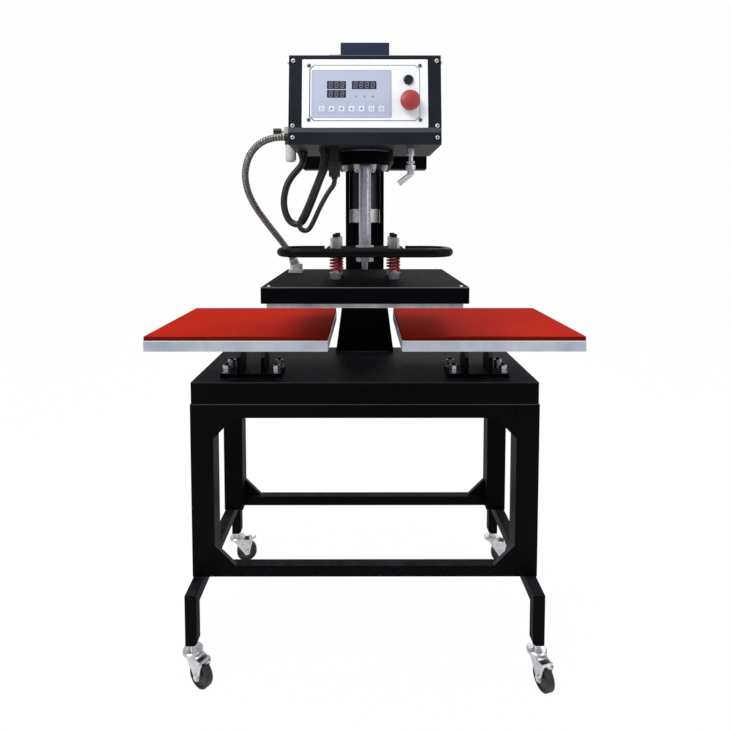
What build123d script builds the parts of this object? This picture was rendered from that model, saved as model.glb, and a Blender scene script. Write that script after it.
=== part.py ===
from build123d import *
import os
from math import atan2, cos, degrees, hypot, pi, radians, sin, sqrt, tan

# Dual station heat press. Millimetres, X to the right, Y to the back, Z up from the floor.
# Two tables stand side by side on a wheeled stand. A press head on a swing arm is parked
# between them, and comes over either table square to it, because the head turns on the arm.
# The base box is centred on X = 0 and Y = 0 while modelling. At the end the whole press is
# moved along Y, so that the origin lies under the middle of its box.

# Clearances
running_clearance = 0.05
turning_gap = 0.3
press_clearance = 1.0

# Stand
base_width = 760.0
base_depth = 346.0
base_height = 49.0
base_wall = 2.5
frame_height = 389.0
post_size = 50.0
top_rail_height = 30.0
bottom_rail_size = 25.0
gusset_leg = 46.0
gusset_thickness = 12.0
frame_overhang = 2.5
skid_size = 25.0
skid_inset = 12.0
skid_overhang_front = 67.0
skid_overhang_rear = 50.0
leg_drop = 85.0
leg_bevel = 6.0
knockout_radius = 48.0
knockout_groove = 1.2

# Casters
caster_height = 86.0
wheel_diameter = 56.0
wheel_width = 18.0
wheel_hub_diameter = 24.0
caster_trail = 26.0
crown_diameter = 43.0
crown_height = 8.0
crown_above_wheel = 13.0
fork_wall = 2.5
fork_side_gap = 2.0
fork_leg_width = 16.0
axle_diameter = 8.0
axle_head = 3.0
stem_diameter = 10.0
stem_collar_diameter = 16.0
lever_reach = 17.0
lever_width = 8.0
lever_thickness = 2.5
lever_rise = 5.0
lever_pivot_out = 10.0
lever_pivot_up = 32.0
front_left_heading = -35.0
front_right_heading = -72.0
rear_left_heading = 14.0
rear_right_heading = -10.0

# Tables
table_size = 380.0
table_gap = 152.0
table_forward = 52.0
table_plate_thickness = 22.5
pad_thickness = 9.0
table_corner_radius = 4.0
pad_inset = 0.8
bracket_height = 84.0
bracket_inset = 9.0
bracket_base_width = 138.0
bracket_base_depth = 76.0
bracket_forward = 43.0
bracket_plate = 8.0
upright_spacing = 54.0
upright_foot_depth = 70.0
upright_top_depth = 32.0
upright_straight = 20.0
upright_lean = 14.0
bracket_top_width = 96.0
bracket_top_depth = 150.0
bracket_bolt_x = 56.0
bracket_bolt_y = 26.0
bracket_stud_diameter = 10.0
bracket_nut_flats = 16.0
bracket_nut_height = 8.0
bracket_nut_gap = 0.5
bracket_washer_height = 1.5
bracket_stud_end = 5.0

# Column and swing bearing
column_width = 101.0
column_depth = 50.0
column_from_rear = 25.5
foot_width = 154.0
foot_depth = 58.0
foot_taper_height = 204.0
column_height = 345.0
slot_width = 22.0
slot_height = 45.0
cheek_thickness = 7.5
cheek_height = 145.0
collar_diameter = 79.0
collar_height = 34.0
thrust_washer_diameter = 81.0
thrust_washer_height = 2.5
spindle_diameter = 40.0
spindle_height = 156.0
sleeve_diameter = 82.0
sleeve_height = 108.0
hub_diameter = 60.0
neck_height = 17.0
swing_flange_diameter = 134.0
swing_flange_height = 8.0
swing_bolt_circle = 112.0
swing_bolt_count = 8

# Swing arm
tongue_half_width = 60.0
tongue_thickness = 19.0
tongue_end = 92.5
beam_start = 147.5
beam_height = 35.0
beam_eye_radius = 70.0
housing_half_width = 153.0
housing_front = 121.5
housing_rear = 69.5
housing_below_beam = 36.0
housing_cover = 5.0

# Head
head_drop = 18.3
box_half_width = 145.0
box_front = 126.0
box_rear = 82.0
box_height = 172.5
box_band_height = 29.0
box_lean = 21.0
box_sheet = 2.0
trunnion_diameter = 66.0
trunnion_flange_diameter = 104.0
trunnion_flange_height = 3.2
retainer_diameter = 108.0
retainer_height = 6.7
retainer_bolt_circle = 90.0
retainer_bolt_count = 8
cylinder_bore = 80.0
cylinder_wall = 3.0
cylinder_base_size = 94.0
cylinder_base_height = 26.0
cylinder_cap_size = 98.0
cylinder_cap_height = 40.0
cylinder_cap_chamfer = 3.0
cylinder_cap_edge = 0.8
piston_height = 20.0
piston_headroom = 3.0
inlet_bore_radius = 4.0
inlet_length = 12.0

# Control panel, measured from its centre, across and up the sloping face
panel_width = 239.0
panel_height = 133.0
panel_thickness = 1.5
panel_drop = 3.5
keypad_width = 152.0
keypad_height = 93.0
keypad_offset = -25.4
keypad_up = -0.9
keypad_thickness = 0.8
key_diameter = 9.5
key_dome = 0.6
key_pitch = 18.9
key_count = 7
key_first = -82.3
key_up = -30.4
start_across = 82.7
start_up = 26.1
start_diameter = 16.6
start_bezel_diameter = 19.0
start_bezel_height = 2.5
start_stand = 3.0
start_travel = 2.5
stop_across = 84.6
stop_up = -18.4
stop_diameter = 37.0
stop_base_diameter = 29.0
stop_base_height = 6.0
stop_cap_height = 13.0
stop_rim = 9.0
stop_travel = 4.0
stop_clearance = 0.5
button_stem_length = 16.0
button_stem_diameter = 10.0

# Ram
rod_diameter = 25.0
plate_width = 161.0
plate_depth = 140.0
plate_thickness = 12.0
plate_corner = 6.0
rod_washer_diameter = 38.0
rod_washer_height = 4.0
rod_stud_diameter = 12.0
rod_stud_length = 48.0
rod_nut_flats = 32.0
rod_nut_height = 18.0
stroke = 77.0
ring_half_width = 157.0
ring_front = 185.0
ring_back = 77.0
ring_corner_radius = 42.0
ring_tube_diameter = 16.5
ring_seat = 2.0

# Heat platen
platen_size = 380.0
platen_corner = 6.0
platen_case_height = 30.0
platen_sheet = 2.0
heater_size = 360.0
heater_thickness = 20.0
heater_proud = 9.0
spring_x = 60.0
spring_y = 45.0
platen_stud_diameter = 12.0
platen_stud_above = 30.0
platen_nut_flats = 19.0
lower_nut_height = 12.0
upper_nut_height = 10.0
upper_nut_gap = 0.5
washer_diameter = 26.0
washer_height = 2.0
spring_height = 37.0
spring_outer_diameter = 26.0
spring_wire = 4.6
spring_turns = 5
float_travel = 4.0

# Conduit, hoses and their fittings
conduit_diameter = 14.0
hose_diameter = 14.0
signal_hose_diameter = 10.0
gland_diameter = 18.0
signal_gland_diameter = 14.0
gland_nut_height = 7.0
gland_drop = 13.0
conduit_nut_flats = 22.0
conduit_nut_length = 7.0
fitting_base_height = 7.0
fitting_nut_flats = 25.0
fitting_nut_height = 13.0
fitting_sleeve = 9.0
socket_gap = 0.5
connector_width = 22.0
connector_depth = 22.0
connector_height = 30.0
connector_drop = 26.0
filter_behind_rod = 14.0
filter_reach = 26.0
filter_above_floor = 53.0
filter_body_height = 24.0
filter_ring_height = 12.0
filter_bowl_height = 37.0
filter_neck_length = 7.0
filter_cap_diameter = 14.0
filter_cap_length = 16.0
valve_across = 92.0
valve_forward = 60.0
valve_hex_flats = 14.0
valve_collar_diameter = 15.0
valve_collar_height = 13.0
valve_neck_diameter = 9.0
valve_neck_height = 12.0
valve_nut_height = 4.0
valve_disc_diameter = 19.0
valve_disc_height = 8.0
valve_foot_flats = 12.0
valve_foot_height = 12.0
valve_outlet_diameter = 11.0
valve_outlet_length = 30.0
valve_outlet_slant = 52.0

# Heights, worked up from the floor
leg_bottom = caster_height
skid_bottom = leg_bottom + leg_drop
frame_bottom = skid_bottom + skid_size
frame_top = frame_bottom + frame_height
base_top = frame_top + base_height
table_bottom = base_top + bracket_height
pad_bottom = table_bottom + table_plate_thickness
pad_top = pad_bottom + pad_thickness
column_top = base_top + column_height
collar_top = column_top + collar_height
washer_top = collar_top + thrust_washer_height
sleeve_bottom = washer_top + turning_gap
sleeve_top = sleeve_bottom + sleeve_height
flange_bottom = sleeve_top + neck_height
beam_bottom = flange_bottom + swing_flange_height
beam_top = beam_bottom + beam_height

# Places in plan. The column stands at the rear edge of the base box.
skid_centre_x = base_width / 2 - skid_inset
table_centre_x = (table_size + table_gap) / 2
table_centre_y = -table_forward
bracket_centre_x = table_centre_x - bracket_inset
bracket_centre_y = table_centre_y - bracket_forward
pivot_y = base_depth / 2 - column_from_rear

# The head's press axis lies as far from the swing axis as the middle of each table does
swing_radius = hypot(table_centre_x, pivot_y - table_centre_y)
swing_limit = degrees(atan2(table_centre_x, pivot_y - table_centre_y))
head_y = pivot_y - swing_radius
tongue_end_y = pivot_y - tongue_end
beam_start_y = pivot_y - beam_start
housing_front_y = pivot_y - housing_front
housing_rear_y = pivot_y - housing_rear
box_front_y = head_y - box_front
box_rear_y = head_y + box_rear
ring_front_y = head_y - ring_front
ring_back_y = head_y - ring_back
filter_y = head_y + filter_behind_rod
valve_y = head_y - valve_forward

# The press stroke takes the heater down to the pad, less a named clearance
heater_bottom = pad_top + press_clearance + stroke
case_bottom = heater_bottom + heater_proud
platen_top = case_bottom + platen_case_height
spring_bottom = platen_top + lower_nut_height + washer_height
plate_bottom = spring_bottom + spring_height
plate_top = plate_bottom + plate_thickness
ring_height = plate_top - 1.0

# The control box stands just over the tongue of the arm
box_floor = beam_bottom - head_drop
filter_top = box_floor + filter_above_floor
trunnion_top = box_floor
tongue_top = box_floor - trunnion_flange_height - turning_gap
tongue_bottom = tongue_top - tongue_thickness
retainer_top = tongue_bottom - turning_gap
retainer_bottom = retainer_top - retainer_height
box_top = box_floor + box_height
box_fold = box_floor + box_band_height
cylinder_floor = box_floor + box_sheet
barrel_bottom = cylinder_floor + cylinder_base_height
piston_top = box_top - piston_headroom
piston_bottom = piston_top - piston_height

# The sloping face of the control box, with Y up the slope and Z out of it
slope_length = hypot(box_lean, box_top - box_fold)
slope_out = Vector(0, -(box_top - box_fold) / slope_length, box_lean / slope_length)
slope_up = Vector(0, box_lean / slope_length, (box_top - box_fold) / slope_length)
panel_middle = Vector(0, box_front_y, box_fold) + slope_up * (slope_length / 2 - panel_drop)
panel_plane = Plane(origin=panel_middle, x_dir=(1, 0, 0), z_dir=slope_out)
panel_face = panel_plane.offset(panel_thickness)

# Route of the conduit: out from the box's left wall, back from the press axis, and up from the
# platen as a share of the way to the box's floor
conduit_points = [
    (15.0, -55.0, 1.089),
    (34.0, -55.0, 1.089),
    (54.0, -53.5, 1.071),
    (73.0, -49.0, 1.032),
    (88.5, -41.0, 0.973),
    (99.5, -29.5, 0.897),
    (105.5, -15.0, 0.810),
    (105.5, 1.0, 0.717),
    (99.0, 17.0, 0.622),
    (86.5, 34.0, 0.525),
    (69.0, 51.0, 0.420),
    (50.5, 68.0, 0.317),
    (33.5, 83.5, 0.221),
    (22.5, 94.0, 0.139),
    (17.5, 99.2, 0.091),
]
conduit_route = [(-box_half_width - out, head_y + back,
                  platen_top + share * (box_floor - platen_top))
                 for out, back, share in conduit_points]

# Routes of the hoses: across, back from the press axis, and down from the box's floor
air_hose_points = [
    (-131.0, -1.0, gland_drop),
    (-131.0, -1.0, 20.5),
    (-133.8, -1.5, 27.5),
    (-141.0, -2.0, 36.5),
    (-152.0, -3.0, 48.5),
    (-162.0, -5.0, 64.0),
    (-168.0, -7.0, 82.0),
    (-171.0, -9.0, 103.0),
    (-168.5, -11.0, 124.0),
    (-161.0, -13.0, 142.0),
    (-151.0, -15.0, 150.5),
    (-139.5, -17.0, 152.5),
    (-129.5, -19.5, 146.0),
    (-122.5, -22.0, 133.5),
    (-113.0, -25.0, 112.0),
    (-103.0, -28.5, 88.0),
    (-92.5, -32.0, 61.0),
    (-83.0, -35.0, 39.5),
    (-76.0, -36.0, 26.0),
    (-76.0, -36.0, gland_drop),
]
signal_hose_points = [
    (-84.0, -60.0, gland_drop),
    (-84.0, -60.0, 24.0),
    (-87.5, -60.0, 42.0),
    (-94.0, -60.0, 60.0),
    (-104.0, -61.0, 84.0),
    (-113.0, -61.0, 107.5),
    (-123.5, -62.0, 131.0),
    (-132.0, -62.0, 147.0),
    (-132.3, -62.0, 156.0),
    (-128.2, -63.0, 162.1),
    (-121.2, -63.0, 164.7),
    (-114.1, -63.5, 162.6),
    (-108.9, -64.0, 155.9),
    (-102.3, -64.0, 143.5),
    (-91.0, -64.0, 118.0),
    (-80.0, -64.0, 98.0),
    (-70.5, -63.0, 82.5),
    (-61.0, -62.0, 71.0),
    (-61.0, -62.0, 60.5),
]
air_hose_route = [(x, head_y + back, box_floor - down) for x, back, down in air_hose_points]
signal_hose_route = [(x, head_y + back, box_floor - down)
                     for x, back, down in signal_hose_points]


def block(x0, x1, y0, y1, z0, z1):
    """A box between two corners."""
    middle = ((x0 + x1) / 2, (y0 + y1) / 2, (z0 + z1) / 2)
    return Pos(*middle) * Box(x1 - x0, y1 - y0, z1 - z0)


def post(x, y, z0, z1, diameter):
    """An upright cylinder."""
    return Pos(x, y, (z0 + z1) / 2) * Cylinder(diameter / 2, z1 - z0)


def hexagon(x, y, z0, z1, flats):
    """An upright hexagonal prism, such as a nut."""
    outline = Pos(x, y, z0) * RegularPolygon(flats / 2, 6, major_radius=False)
    return extrude(outline, z1 - z0)


def chamfered_nut(x, y, z0, z1, flats):
    """A nut whose top corners are turned down."""
    nut = hexagon(x, y, z0, z1, flats)
    turned = Pos(x, y, z0) * Cone(flats * 0.58 + (z1 - z0), flats * 0.46, z1 - z0,
                                  align=(Align.CENTER, Align.CENTER, Align.MIN))
    return nut & turned


def ring_places(count, circle, x, y, start=0.0):
    """Places on a bolt circle."""
    for turn in range(count):
        angle = radians(start + 360 * turn / count)
        yield x + circle / 2 * cos(angle), y + circle / 2 * sin(angle)


def square_frame(front_y, back_y):
    """Two posts, a top and a bottom rail, and gussets in the corners, welded together."""
    half = base_width / 2 + frame_overhang
    inner = half - post_size
    rail_front = front_y
    gusset_y = front_y
    if front_y > 0:
        rail_front = back_y - bottom_rail_size
        gusset_y = rail_front + (bottom_rail_size - gusset_thickness) / 2
    rail_back = rail_front + bottom_rail_size
    frame = block(-half, -inner, front_y, back_y, frame_bottom, frame_top)
    frame += block(inner, half, front_y, back_y, frame_bottom, frame_top)
    frame += block(-inner, inner, front_y, back_y, frame_top - top_rail_height, frame_top)
    frame += block(-inner, inner, rail_front, rail_back, frame_bottom,
                   frame_bottom + bottom_rail_size)
    for side in (-1, 1):
        for level, upward in ((frame_bottom + bottom_rail_size, 1),
                              (frame_top - top_rail_height, -1)):
            corner = (side * inner, level)
            outline = Polyline(corner, (corner[0] - side * gusset_leg, corner[1]),
                               (corner[0], corner[1] + upward * gusset_leg), close=True)
            upright = Plane(origin=(0, gusset_y, 0), x_dir=(1, 0, 0), z_dir=(0, -1, 0))
            face = upright * make_face(outline)
            frame += extrude(face, -gusset_thickness)
    return frame


def skid(side):
    """A tube that runs from front to back under both frames, with a leg at each end."""
    x0 = side * skid_centre_x - skid_size / 2
    x1 = x0 + skid_size
    y0 = -base_depth / 2 - skid_overhang_front
    y1 = base_depth / 2 + skid_overhang_rear
    tube = block(x0, x1, y0, y1, skid_bottom, frame_bottom)
    for leg_y in (y0, y1 - skid_size):
        leg = block(x0, x1, leg_y, leg_y + skid_size, leg_bottom, skid_bottom)
        inner_edges = leg.edges().filter_by(Axis.Y).group_by(Axis.Z)[0].sort_by(Axis.X)
        tube += chamfer(inner_edges[0 if side > 0 else -1], leg_bevel)
    return tube


def caster_places():
    """Name, stem place and heading of each caster."""
    front = -base_depth / 2 - skid_overhang_front + skid_size / 2
    rear = base_depth / 2 + skid_overhang_rear - skid_size / 2
    return [
        ("front_left", -skid_centre_x, front, front_left_heading),
        ("front_right", skid_centre_x, front, front_right_heading),
        ("rear_left", -skid_centre_x, rear, rear_left_heading),
        ("rear_right", skid_centre_x, rear, rear_right_heading),
    ]


crown_bottom = wheel_diameter + crown_above_wheel - 3.0
crown_top = crown_bottom + crown_height
wheel_radius = wheel_diameter / 2
fork_inner = wheel_width / 2 + fork_side_gap
fork_outer = fork_inner + fork_wall
lever_pivot = (caster_trail + lever_pivot_out, wheel_radius + lever_pivot_up)


def caster_stem():
    """Collar against the leg, and the pin that the fork turns on."""
    collar = post(0, 0, crown_top + turning_gap, leg_bottom, stem_collar_diameter)
    return collar + post(0, 0, crown_bottom + 1, crown_top + turning_gap, stem_diameter)


def caster_fork():
    """Pressed crown and two legs down to the axle, trailing along +X, with the axle bolt."""
    crown = post(0, 0, crown_bottom, crown_top, crown_diameter)
    crown = chamfer(crown.edges().group_by(Axis.Z)[-1], 2.5)
    crown += post(0, 0, crown_bottom - 3, crown_bottom, crown_diameter - 9)
    legs = None
    for side in (-1, 1):
        y0 = min(side * fork_inner, side * fork_outer)
        front = Line((-11, crown_bottom), (caster_trail - 8, wheel_radius - 2))
        foot = ThreePointArc(front @ 1, (caster_trail + 2, wheel_radius - fork_leg_width / 2),
                             (caster_trail + 8, wheel_radius + 2))
        back = Line(foot @ 1, (lever_pivot[0] + 4, lever_pivot[1] - 6))
        tip = ThreePointArc(back @ 1, (lever_pivot[0] + 3, lever_pivot[1] + 3),
                            (lever_pivot[0] - 4, lever_pivot[1] + 3))
        top = Line(tip @ 1, (13, crown_bottom))
        close = Line(top @ 1, (-11, crown_bottom))
        outline = make_face([front, foot, back, tip, top, close])
        upright = Plane(origin=(0, y0, 0), x_dir=(1, 0, 0), z_dir=(0, -1, 0))
        leg = extrude(upright * outline, -fork_wall)
        legs = leg if legs is None else legs + leg
    web = block(-11, 13, -fork_outer, fork_outer, crown_bottom - 3, crown_bottom)
    fork = crown + legs + web
    fork -= post(0, 0, crown_bottom - 4, crown_top + 1, stem_diameter + 2 * running_clearance)
    pin_hole = Pos(lever_pivot[0], 0, lever_pivot[1]) * Rot(90, 0, 0) * Cylinder(
        1.5 + running_clearance, 2 * fork_outer + 2)
    fork -= pin_hole
    axle = Pos(caster_trail, 0, wheel_radius) * Rot(90, 0, 0) * (
        Cylinder(axle_diameter / 2, 2 * fork_outer + 2 * axle_head)
        + Pos(0, 0, fork_outer + axle_head / 2) * Cylinder(axle_diameter * 0.8, axle_head)
        + Pos(0, 0, -fork_outer - axle_head / 2) * Cylinder(axle_diameter * 0.8, axle_head))
    fork -= Pos(caster_trail, 0, wheel_radius) * Rot(90, 0, 0) * Cylinder(
        axle_diameter / 2, 2 * fork_outer + 2)
    return [fork, axle]


def caster_wheel():
    """Tread with rounded shoulders and a raised hub, turned about the axle."""
    half = wheel_width / 2
    bore = axle_diameter / 2 + running_clearance
    hub = wheel_hub_diameter / 2
    shoulder = 3.0
    dish = 2.5
    lines = Polyline((bore, -half - 1), (hub - 4, -half - 1), (hub - 2, -half + dish),
                     (wheel_radius - 6, -half + dish), (wheel_radius - 5, -half),
                     (wheel_radius - shoulder, -half))
    lower = ThreePointArc(lines @ 1, (wheel_radius - 0.9, -half + 0.9),
                          (wheel_radius, -half + shoulder))
    tread = Line(lower @ 1, (wheel_radius, half - shoulder))
    upper = ThreePointArc(tread @ 1, (wheel_radius - 0.9, half - 0.9),
                          (wheel_radius - shoulder, half))
    back = Polyline(upper @ 1, (wheel_radius - 5, half), (wheel_radius - 6, half - dish),
                    (hub - 2, half - dish), (hub - 4, half + 1), (bore, half + 1),
                    (bore, -half - 1))
    profile = Plane.XZ * make_face([lines, lower, tread, upper, back])
    wheel = revolve(profile, Axis.Z)
    return Pos(caster_trail, 0, wheel_radius) * Rot(90, 0, 0) * wheel


def caster_lever():
    """Brake lever on a pin between the fork legs, with its tread bent slightly up."""
    x, z = lever_pivot
    inner = fork_inner - turning_gap
    pin = Pos(x, 0, z) * Rot(90, 0, 0) * Cylinder(1.5, 2 * fork_outer + 2)
    barrel = Pos(x, 0, z) * Rot(90, 0, 0) * Cylinder(3.0, 2 * inner)
    side = Polyline((x, z - 1.2), (x + lever_reach * 0.55, z - 0.4),
                    (x + lever_reach, z + lever_rise), (x + lever_reach, z + lever_rise + lever_thickness),
                    (x + lever_reach * 0.5, z + lever_thickness), (x, z + lever_thickness - 1.2),
                    close=True)
    upright = Plane(origin=(0, -lever_width / 2, 0), x_dir=(1, 0, 0), z_dir=(0, -1, 0))
    blade = extrude(upright * make_face(side), -lever_width)
    return pin + barrel + blade


def base_box():
    """Closed sheet box with a round knock-out scored across the front seam."""
    half_x = base_width / 2
    half_y = base_depth / 2
    box = block(-half_x, half_x, -half_y, half_y, frame_top, base_top)
    box = fillet(box.edges().filter_by(Axis.X).group_by(Axis.Z)[-1], 2.0)
    box -= block(-half_x + base_wall, half_x - base_wall, -half_y + base_wall,
                 half_y - base_wall, frame_top + base_wall, base_top - base_wall)
    centre = Plane(origin=(0, -half_y, frame_top - top_rail_height / 2), x_dir=(1, 0, 0),
                   z_dir=(0, -1, 0))
    ring = Circle(knockout_radius) - Circle(knockout_radius - knockout_groove)
    return box - extrude(centre * ring, -knockout_groove)


def table_bracket(side):
    """Foot plate, two uprights that narrow and lean back, and the plate under the table."""
    x = side * bracket_centre_x
    y = bracket_centre_y
    half_x = bracket_base_width / 2
    half_y = bracket_base_depth / 2
    foot_top = base_top + bracket_plate
    seat_bottom = table_bottom - bracket_plate
    foot = block(x - half_x, x + half_x, y - half_y, y + half_y, base_top, foot_top)
    foot = fillet(foot.edges().filter_by(Axis.Z), 3.0)
    seat = block(x - bracket_top_width / 2, x + bracket_top_width / 2,
                 table_centre_y - bracket_top_depth / 2, table_centre_y + bracket_top_depth / 2,
                 seat_bottom, table_bottom)
    bracket = foot + seat
    front = -upright_foot_depth / 2
    back = upright_foot_depth / 2
    top_front = upright_lean - upright_top_depth / 2
    top_back = upright_lean + upright_top_depth / 2
    knee = foot_top + upright_straight
    rise = Line((front, foot_top), (front, knee))
    lean = TangentArc((front, knee), (top_front, seat_bottom), tangent=(0, 1))
    rest = Polyline((top_front, seat_bottom), (top_back, seat_bottom), (back, foot_top),
                    (front, foot_top))
    outline = make_face([rise, lean, rest])
    for step in (-1, 1):
        left = x + step * upright_spacing / 2 - bracket_plate / 2
        upright = Plane(origin=(left, y, 0), x_dir=(0, 1, 0), z_dir=(1, 0, 0))
        bracket += extrude(upright * outline, bracket_plate)
    return bracket


def bracket_bolts():
    """Studs, washers and double nuts that hold the two brackets down."""
    bolts = []
    foot_top = base_top + bracket_plate
    first = foot_top + bracket_washer_height
    second = first + bracket_nut_height + bracket_nut_gap
    stud_top = second + bracket_nut_height + bracket_stud_end
    for side in (-1, 1):
        for across in (-1, 1):
            for along in (-1, 1):
                x = side * bracket_centre_x + across * bracket_bolt_x
                y = bracket_centre_y + along * bracket_bolt_y
                bolt = post(x, y, foot_top, first, bracket_nut_flats + 4)
                for low in (first, second):
                    bolt += chamfered_nut(x, y, low, low + bracket_nut_height, bracket_nut_flats)
                bolt += post(x, y, first, stud_top, bracket_stud_diameter)
                bolts.append(bolt)
    return bolts


def table_layer(side, z0, z1, inset):
    """One square layer of a table."""
    half = table_size / 2 - inset
    x = side * table_centre_x
    y = table_centre_y
    layer = block(x - half, x + half, y - half, y + half, z0, z1)
    return fillet(layer.edges().filter_by(Axis.Z), table_corner_radius)


def table_pad(side):
    """Silicone pad, its upper edge softly rounded."""
    pad = table_layer(side, pad_bottom, pad_top, pad_inset)
    return fillet(pad.edges().group_by(Axis.Z)[-1], 2.0)


def column():
    """Flared foot, box column, and the slotted fork and cheeks round the swing bearing."""
    base_rear = base_depth / 2
    foot_centre = base_rear - foot_depth / 2
    taper_top = base_top + foot_taper_height
    low = Pos(0, foot_centre, base_top) * Rectangle(foot_width, foot_depth)
    high = Pos(0, pivot_y, taper_top) * Rectangle(column_width, column_depth)
    body = loft([low, high], ruled=True)
    half_x = column_width / 2
    half_y = column_depth / 2
    body += block(-half_x, half_x, pivot_y - half_y, pivot_y + half_y, taper_top, column_top)
    body -= block(-slot_width / 2, slot_width / 2, pivot_y - column_depth, pivot_y + column_depth,
                  column_top - slot_height, column_top + 1)
    for side in (-1, 1):
        x0 = min(side * half_x, side * (half_x - cheek_thickness))
        cheek = block(x0, x0 + cheek_thickness, pivot_y - half_y, pivot_y + half_y,
                      column_top, column_top + cheek_height)
        body += cheek
    return body


def swing_spindle():
    """Plated collar that sits on the fork, turned in one piece with the spindle."""
    collar = post(0, pivot_y, column_top, collar_top, collar_diameter)
    collar = chamfer(collar.edges().group_by(Axis.Z)[0], 1.5)
    spindle = post(0, pivot_y, collar_top, column_top + spindle_height, spindle_diameter)
    return collar + chamfer(spindle.edges().group_by(Axis.Z)[-1], 2.0)


def thrust_washer():
    washer = post(0, pivot_y, collar_top, washer_top, thrust_washer_diameter)
    return washer - post(0, pivot_y, collar_top - 1, washer_top + 1, spindle_diameter + 0.4)


def bearing_hub():
    """Flanged hub under the arm, bored for the spindle."""
    hub = post(0, pivot_y, sleeve_bottom, flange_bottom, hub_diameter)
    hub += post(0, pivot_y, flange_bottom, beam_bottom, swing_flange_diameter)
    bore = spindle_diameter + 2 * running_clearance
    return hub - post(0, pivot_y, sleeve_bottom - 1, column_top + spindle_height + 1.5, bore)


def swing_sleeve():
    """Black outer sleeve pressed over the hub."""
    sleeve = post(0, pivot_y, sleeve_bottom, sleeve_top, sleeve_diameter)
    sleeve = chamfer(sleeve.edges().group_by(Axis.Z)[-1], 1.5)
    return sleeve - post(0, pivot_y, sleeve_bottom - 1, sleeve_top + 1, hub_diameter)


def hanging_bolts(circle, count, x, y, seat, flats, start=0.0):
    """Nuts with washers and stud ends that point down from a flange."""
    bolts = []
    for bx, by in ring_places(count, circle, x, y, start):
        bolt = post(bx, by, seat - 1.2, seat, flats + 3)
        bolt += hexagon(bx, by, seat - 1.2 - flats * 0.6, seat - 1.2, flats)
        bolt += post(bx, by, seat - flats * 0.6 - 4.2, seat - flats * 0.6 - 1.2, flats * 0.6)
        bolts.append(bolt)
    return bolts


def swing_arm():
    """Tongue under the head, riser and beam back over the column, welded together."""
    eye = post(0, head_y, tongue_bottom, tongue_top, 2 * tongue_half_width)
    tongue = eye + block(-tongue_half_width, tongue_half_width, head_y, tongue_end_y,
                         tongue_bottom, tongue_top)
    riser = block(-tongue_half_width, tongue_half_width, beam_start_y, tongue_end_y,
                  tongue_top, beam_bottom)
    beam = block(-tongue_half_width, tongue_half_width, beam_start_y, pivot_y,
                 beam_bottom, beam_top)
    beam += post(0, pivot_y, beam_bottom, beam_top, 2 * beam_eye_radius)
    arm = tongue + riser + beam
    bore = trunnion_diameter + 2 * running_clearance
    return arm - post(0, head_y, tongue_bottom - 1, tongue_top + 1, bore)


def arm_housing():
    """Cover that straddles the arm and holds its valves, behind the control box."""
    bottom = beam_bottom - housing_below_beam
    cover = block(-housing_half_width, housing_half_width, housing_front_y, housing_rear_y,
                  bottom, beam_top + housing_cover)
    cover = fillet(cover.edges().filter_by(Axis.Y).group_by(Axis.Z)[-1], 5.0)
    return cover - block(-tongue_half_width, tongue_half_width, housing_front_y - 1,
                         housing_rear_y + 1, bottom - 1, beam_top)


def box_profile(inset):
    """Side outline of the control box, inset by a sheet thickness."""
    front = box_front_y + inset
    lean = box_lean * (1 - 2 * inset / box_height)
    return Plane.YZ * make_face(Polyline(
        (front, box_floor + inset), (front, box_fold), (front + lean, box_top - inset),
        (box_rear_y - inset, box_top - inset), (box_rear_y - inset, box_floor + inset),
        close=True))


def control_box():
    """Folded sheet housing round the press cylinder, its panel face leaning back."""
    outer = extrude(box_profile(0), box_half_width, both=True)
    outer = fillet(outer.edges().filter_by(Axis.X).group_by(Axis.Z)[-1], 2.5)
    inner = extrude(box_profile(box_sheet), box_half_width - box_sheet, both=True)
    box = outer - inner
    box -= post(0, head_y, box_floor - 1, cylinder_floor + 1, rod_diameter + 10)
    barrel = cylinder_bore + 2 * cylinder_wall + 2 * running_clearance
    box -= post(0, head_y, box_top - 2 * box_sheet, box_top + 1, barrel)
    for across, up in ((start_across, start_up), (stop_across, stop_up)):
        hole = button_stem_diameter / 2 + 1
        box -= panel_plane * Pos(across, up, 0) * Cylinder(hole, 12)
    return box


def front_panel():
    panel = panel_plane * extrude(RectangleRounded(panel_width, panel_height, 2), panel_thickness)
    for across, up in ((start_across, start_up), (stop_across, stop_up)):
        hole = button_stem_diameter / 2 + running_clearance
        panel -= panel_plane * Pos(across, up, 0) * Cylinder(hole, 12)
    return panel


def keypad():
    """Membrane with a row of domed keys."""
    sheet = extrude(RectangleRounded(keypad_width, keypad_height, 3), keypad_thickness)
    pad = Pos(keypad_offset, keypad_up, 0) * sheet
    for step in range(key_count):
        dome = Cone(key_diameter / 2, key_diameter / 2 - 0.8, key_dome,
                    align=(Align.CENTER, Align.CENTER, Align.MIN))
        pad += Pos(key_first + step * key_pitch, key_up, keypad_thickness) * dome
    return panel_face * pad


def button_bezels():
    """Fixed rings round the start button and under the stop button."""
    start = Cylinder(start_bezel_diameter / 2, start_bezel_height,
                     align=(Align.CENTER, Align.CENTER, Align.MIN))
    start -= Cylinder(start_diameter / 2 + 0.2, 30)
    stop = Cylinder(stop_base_diameter / 2, stop_base_height,
                    align=(Align.CENTER, Align.CENTER, Align.MIN))
    stop = chamfer(stop.edges().group_by(Axis.Z)[-1], 1.0)
    stop -= Cylinder(button_stem_diameter / 2 + running_clearance, 30)
    return [panel_face * Pos(start_across, start_up, 0) * start,
            panel_face * Pos(stop_across, stop_up, 0) * stop]


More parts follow.
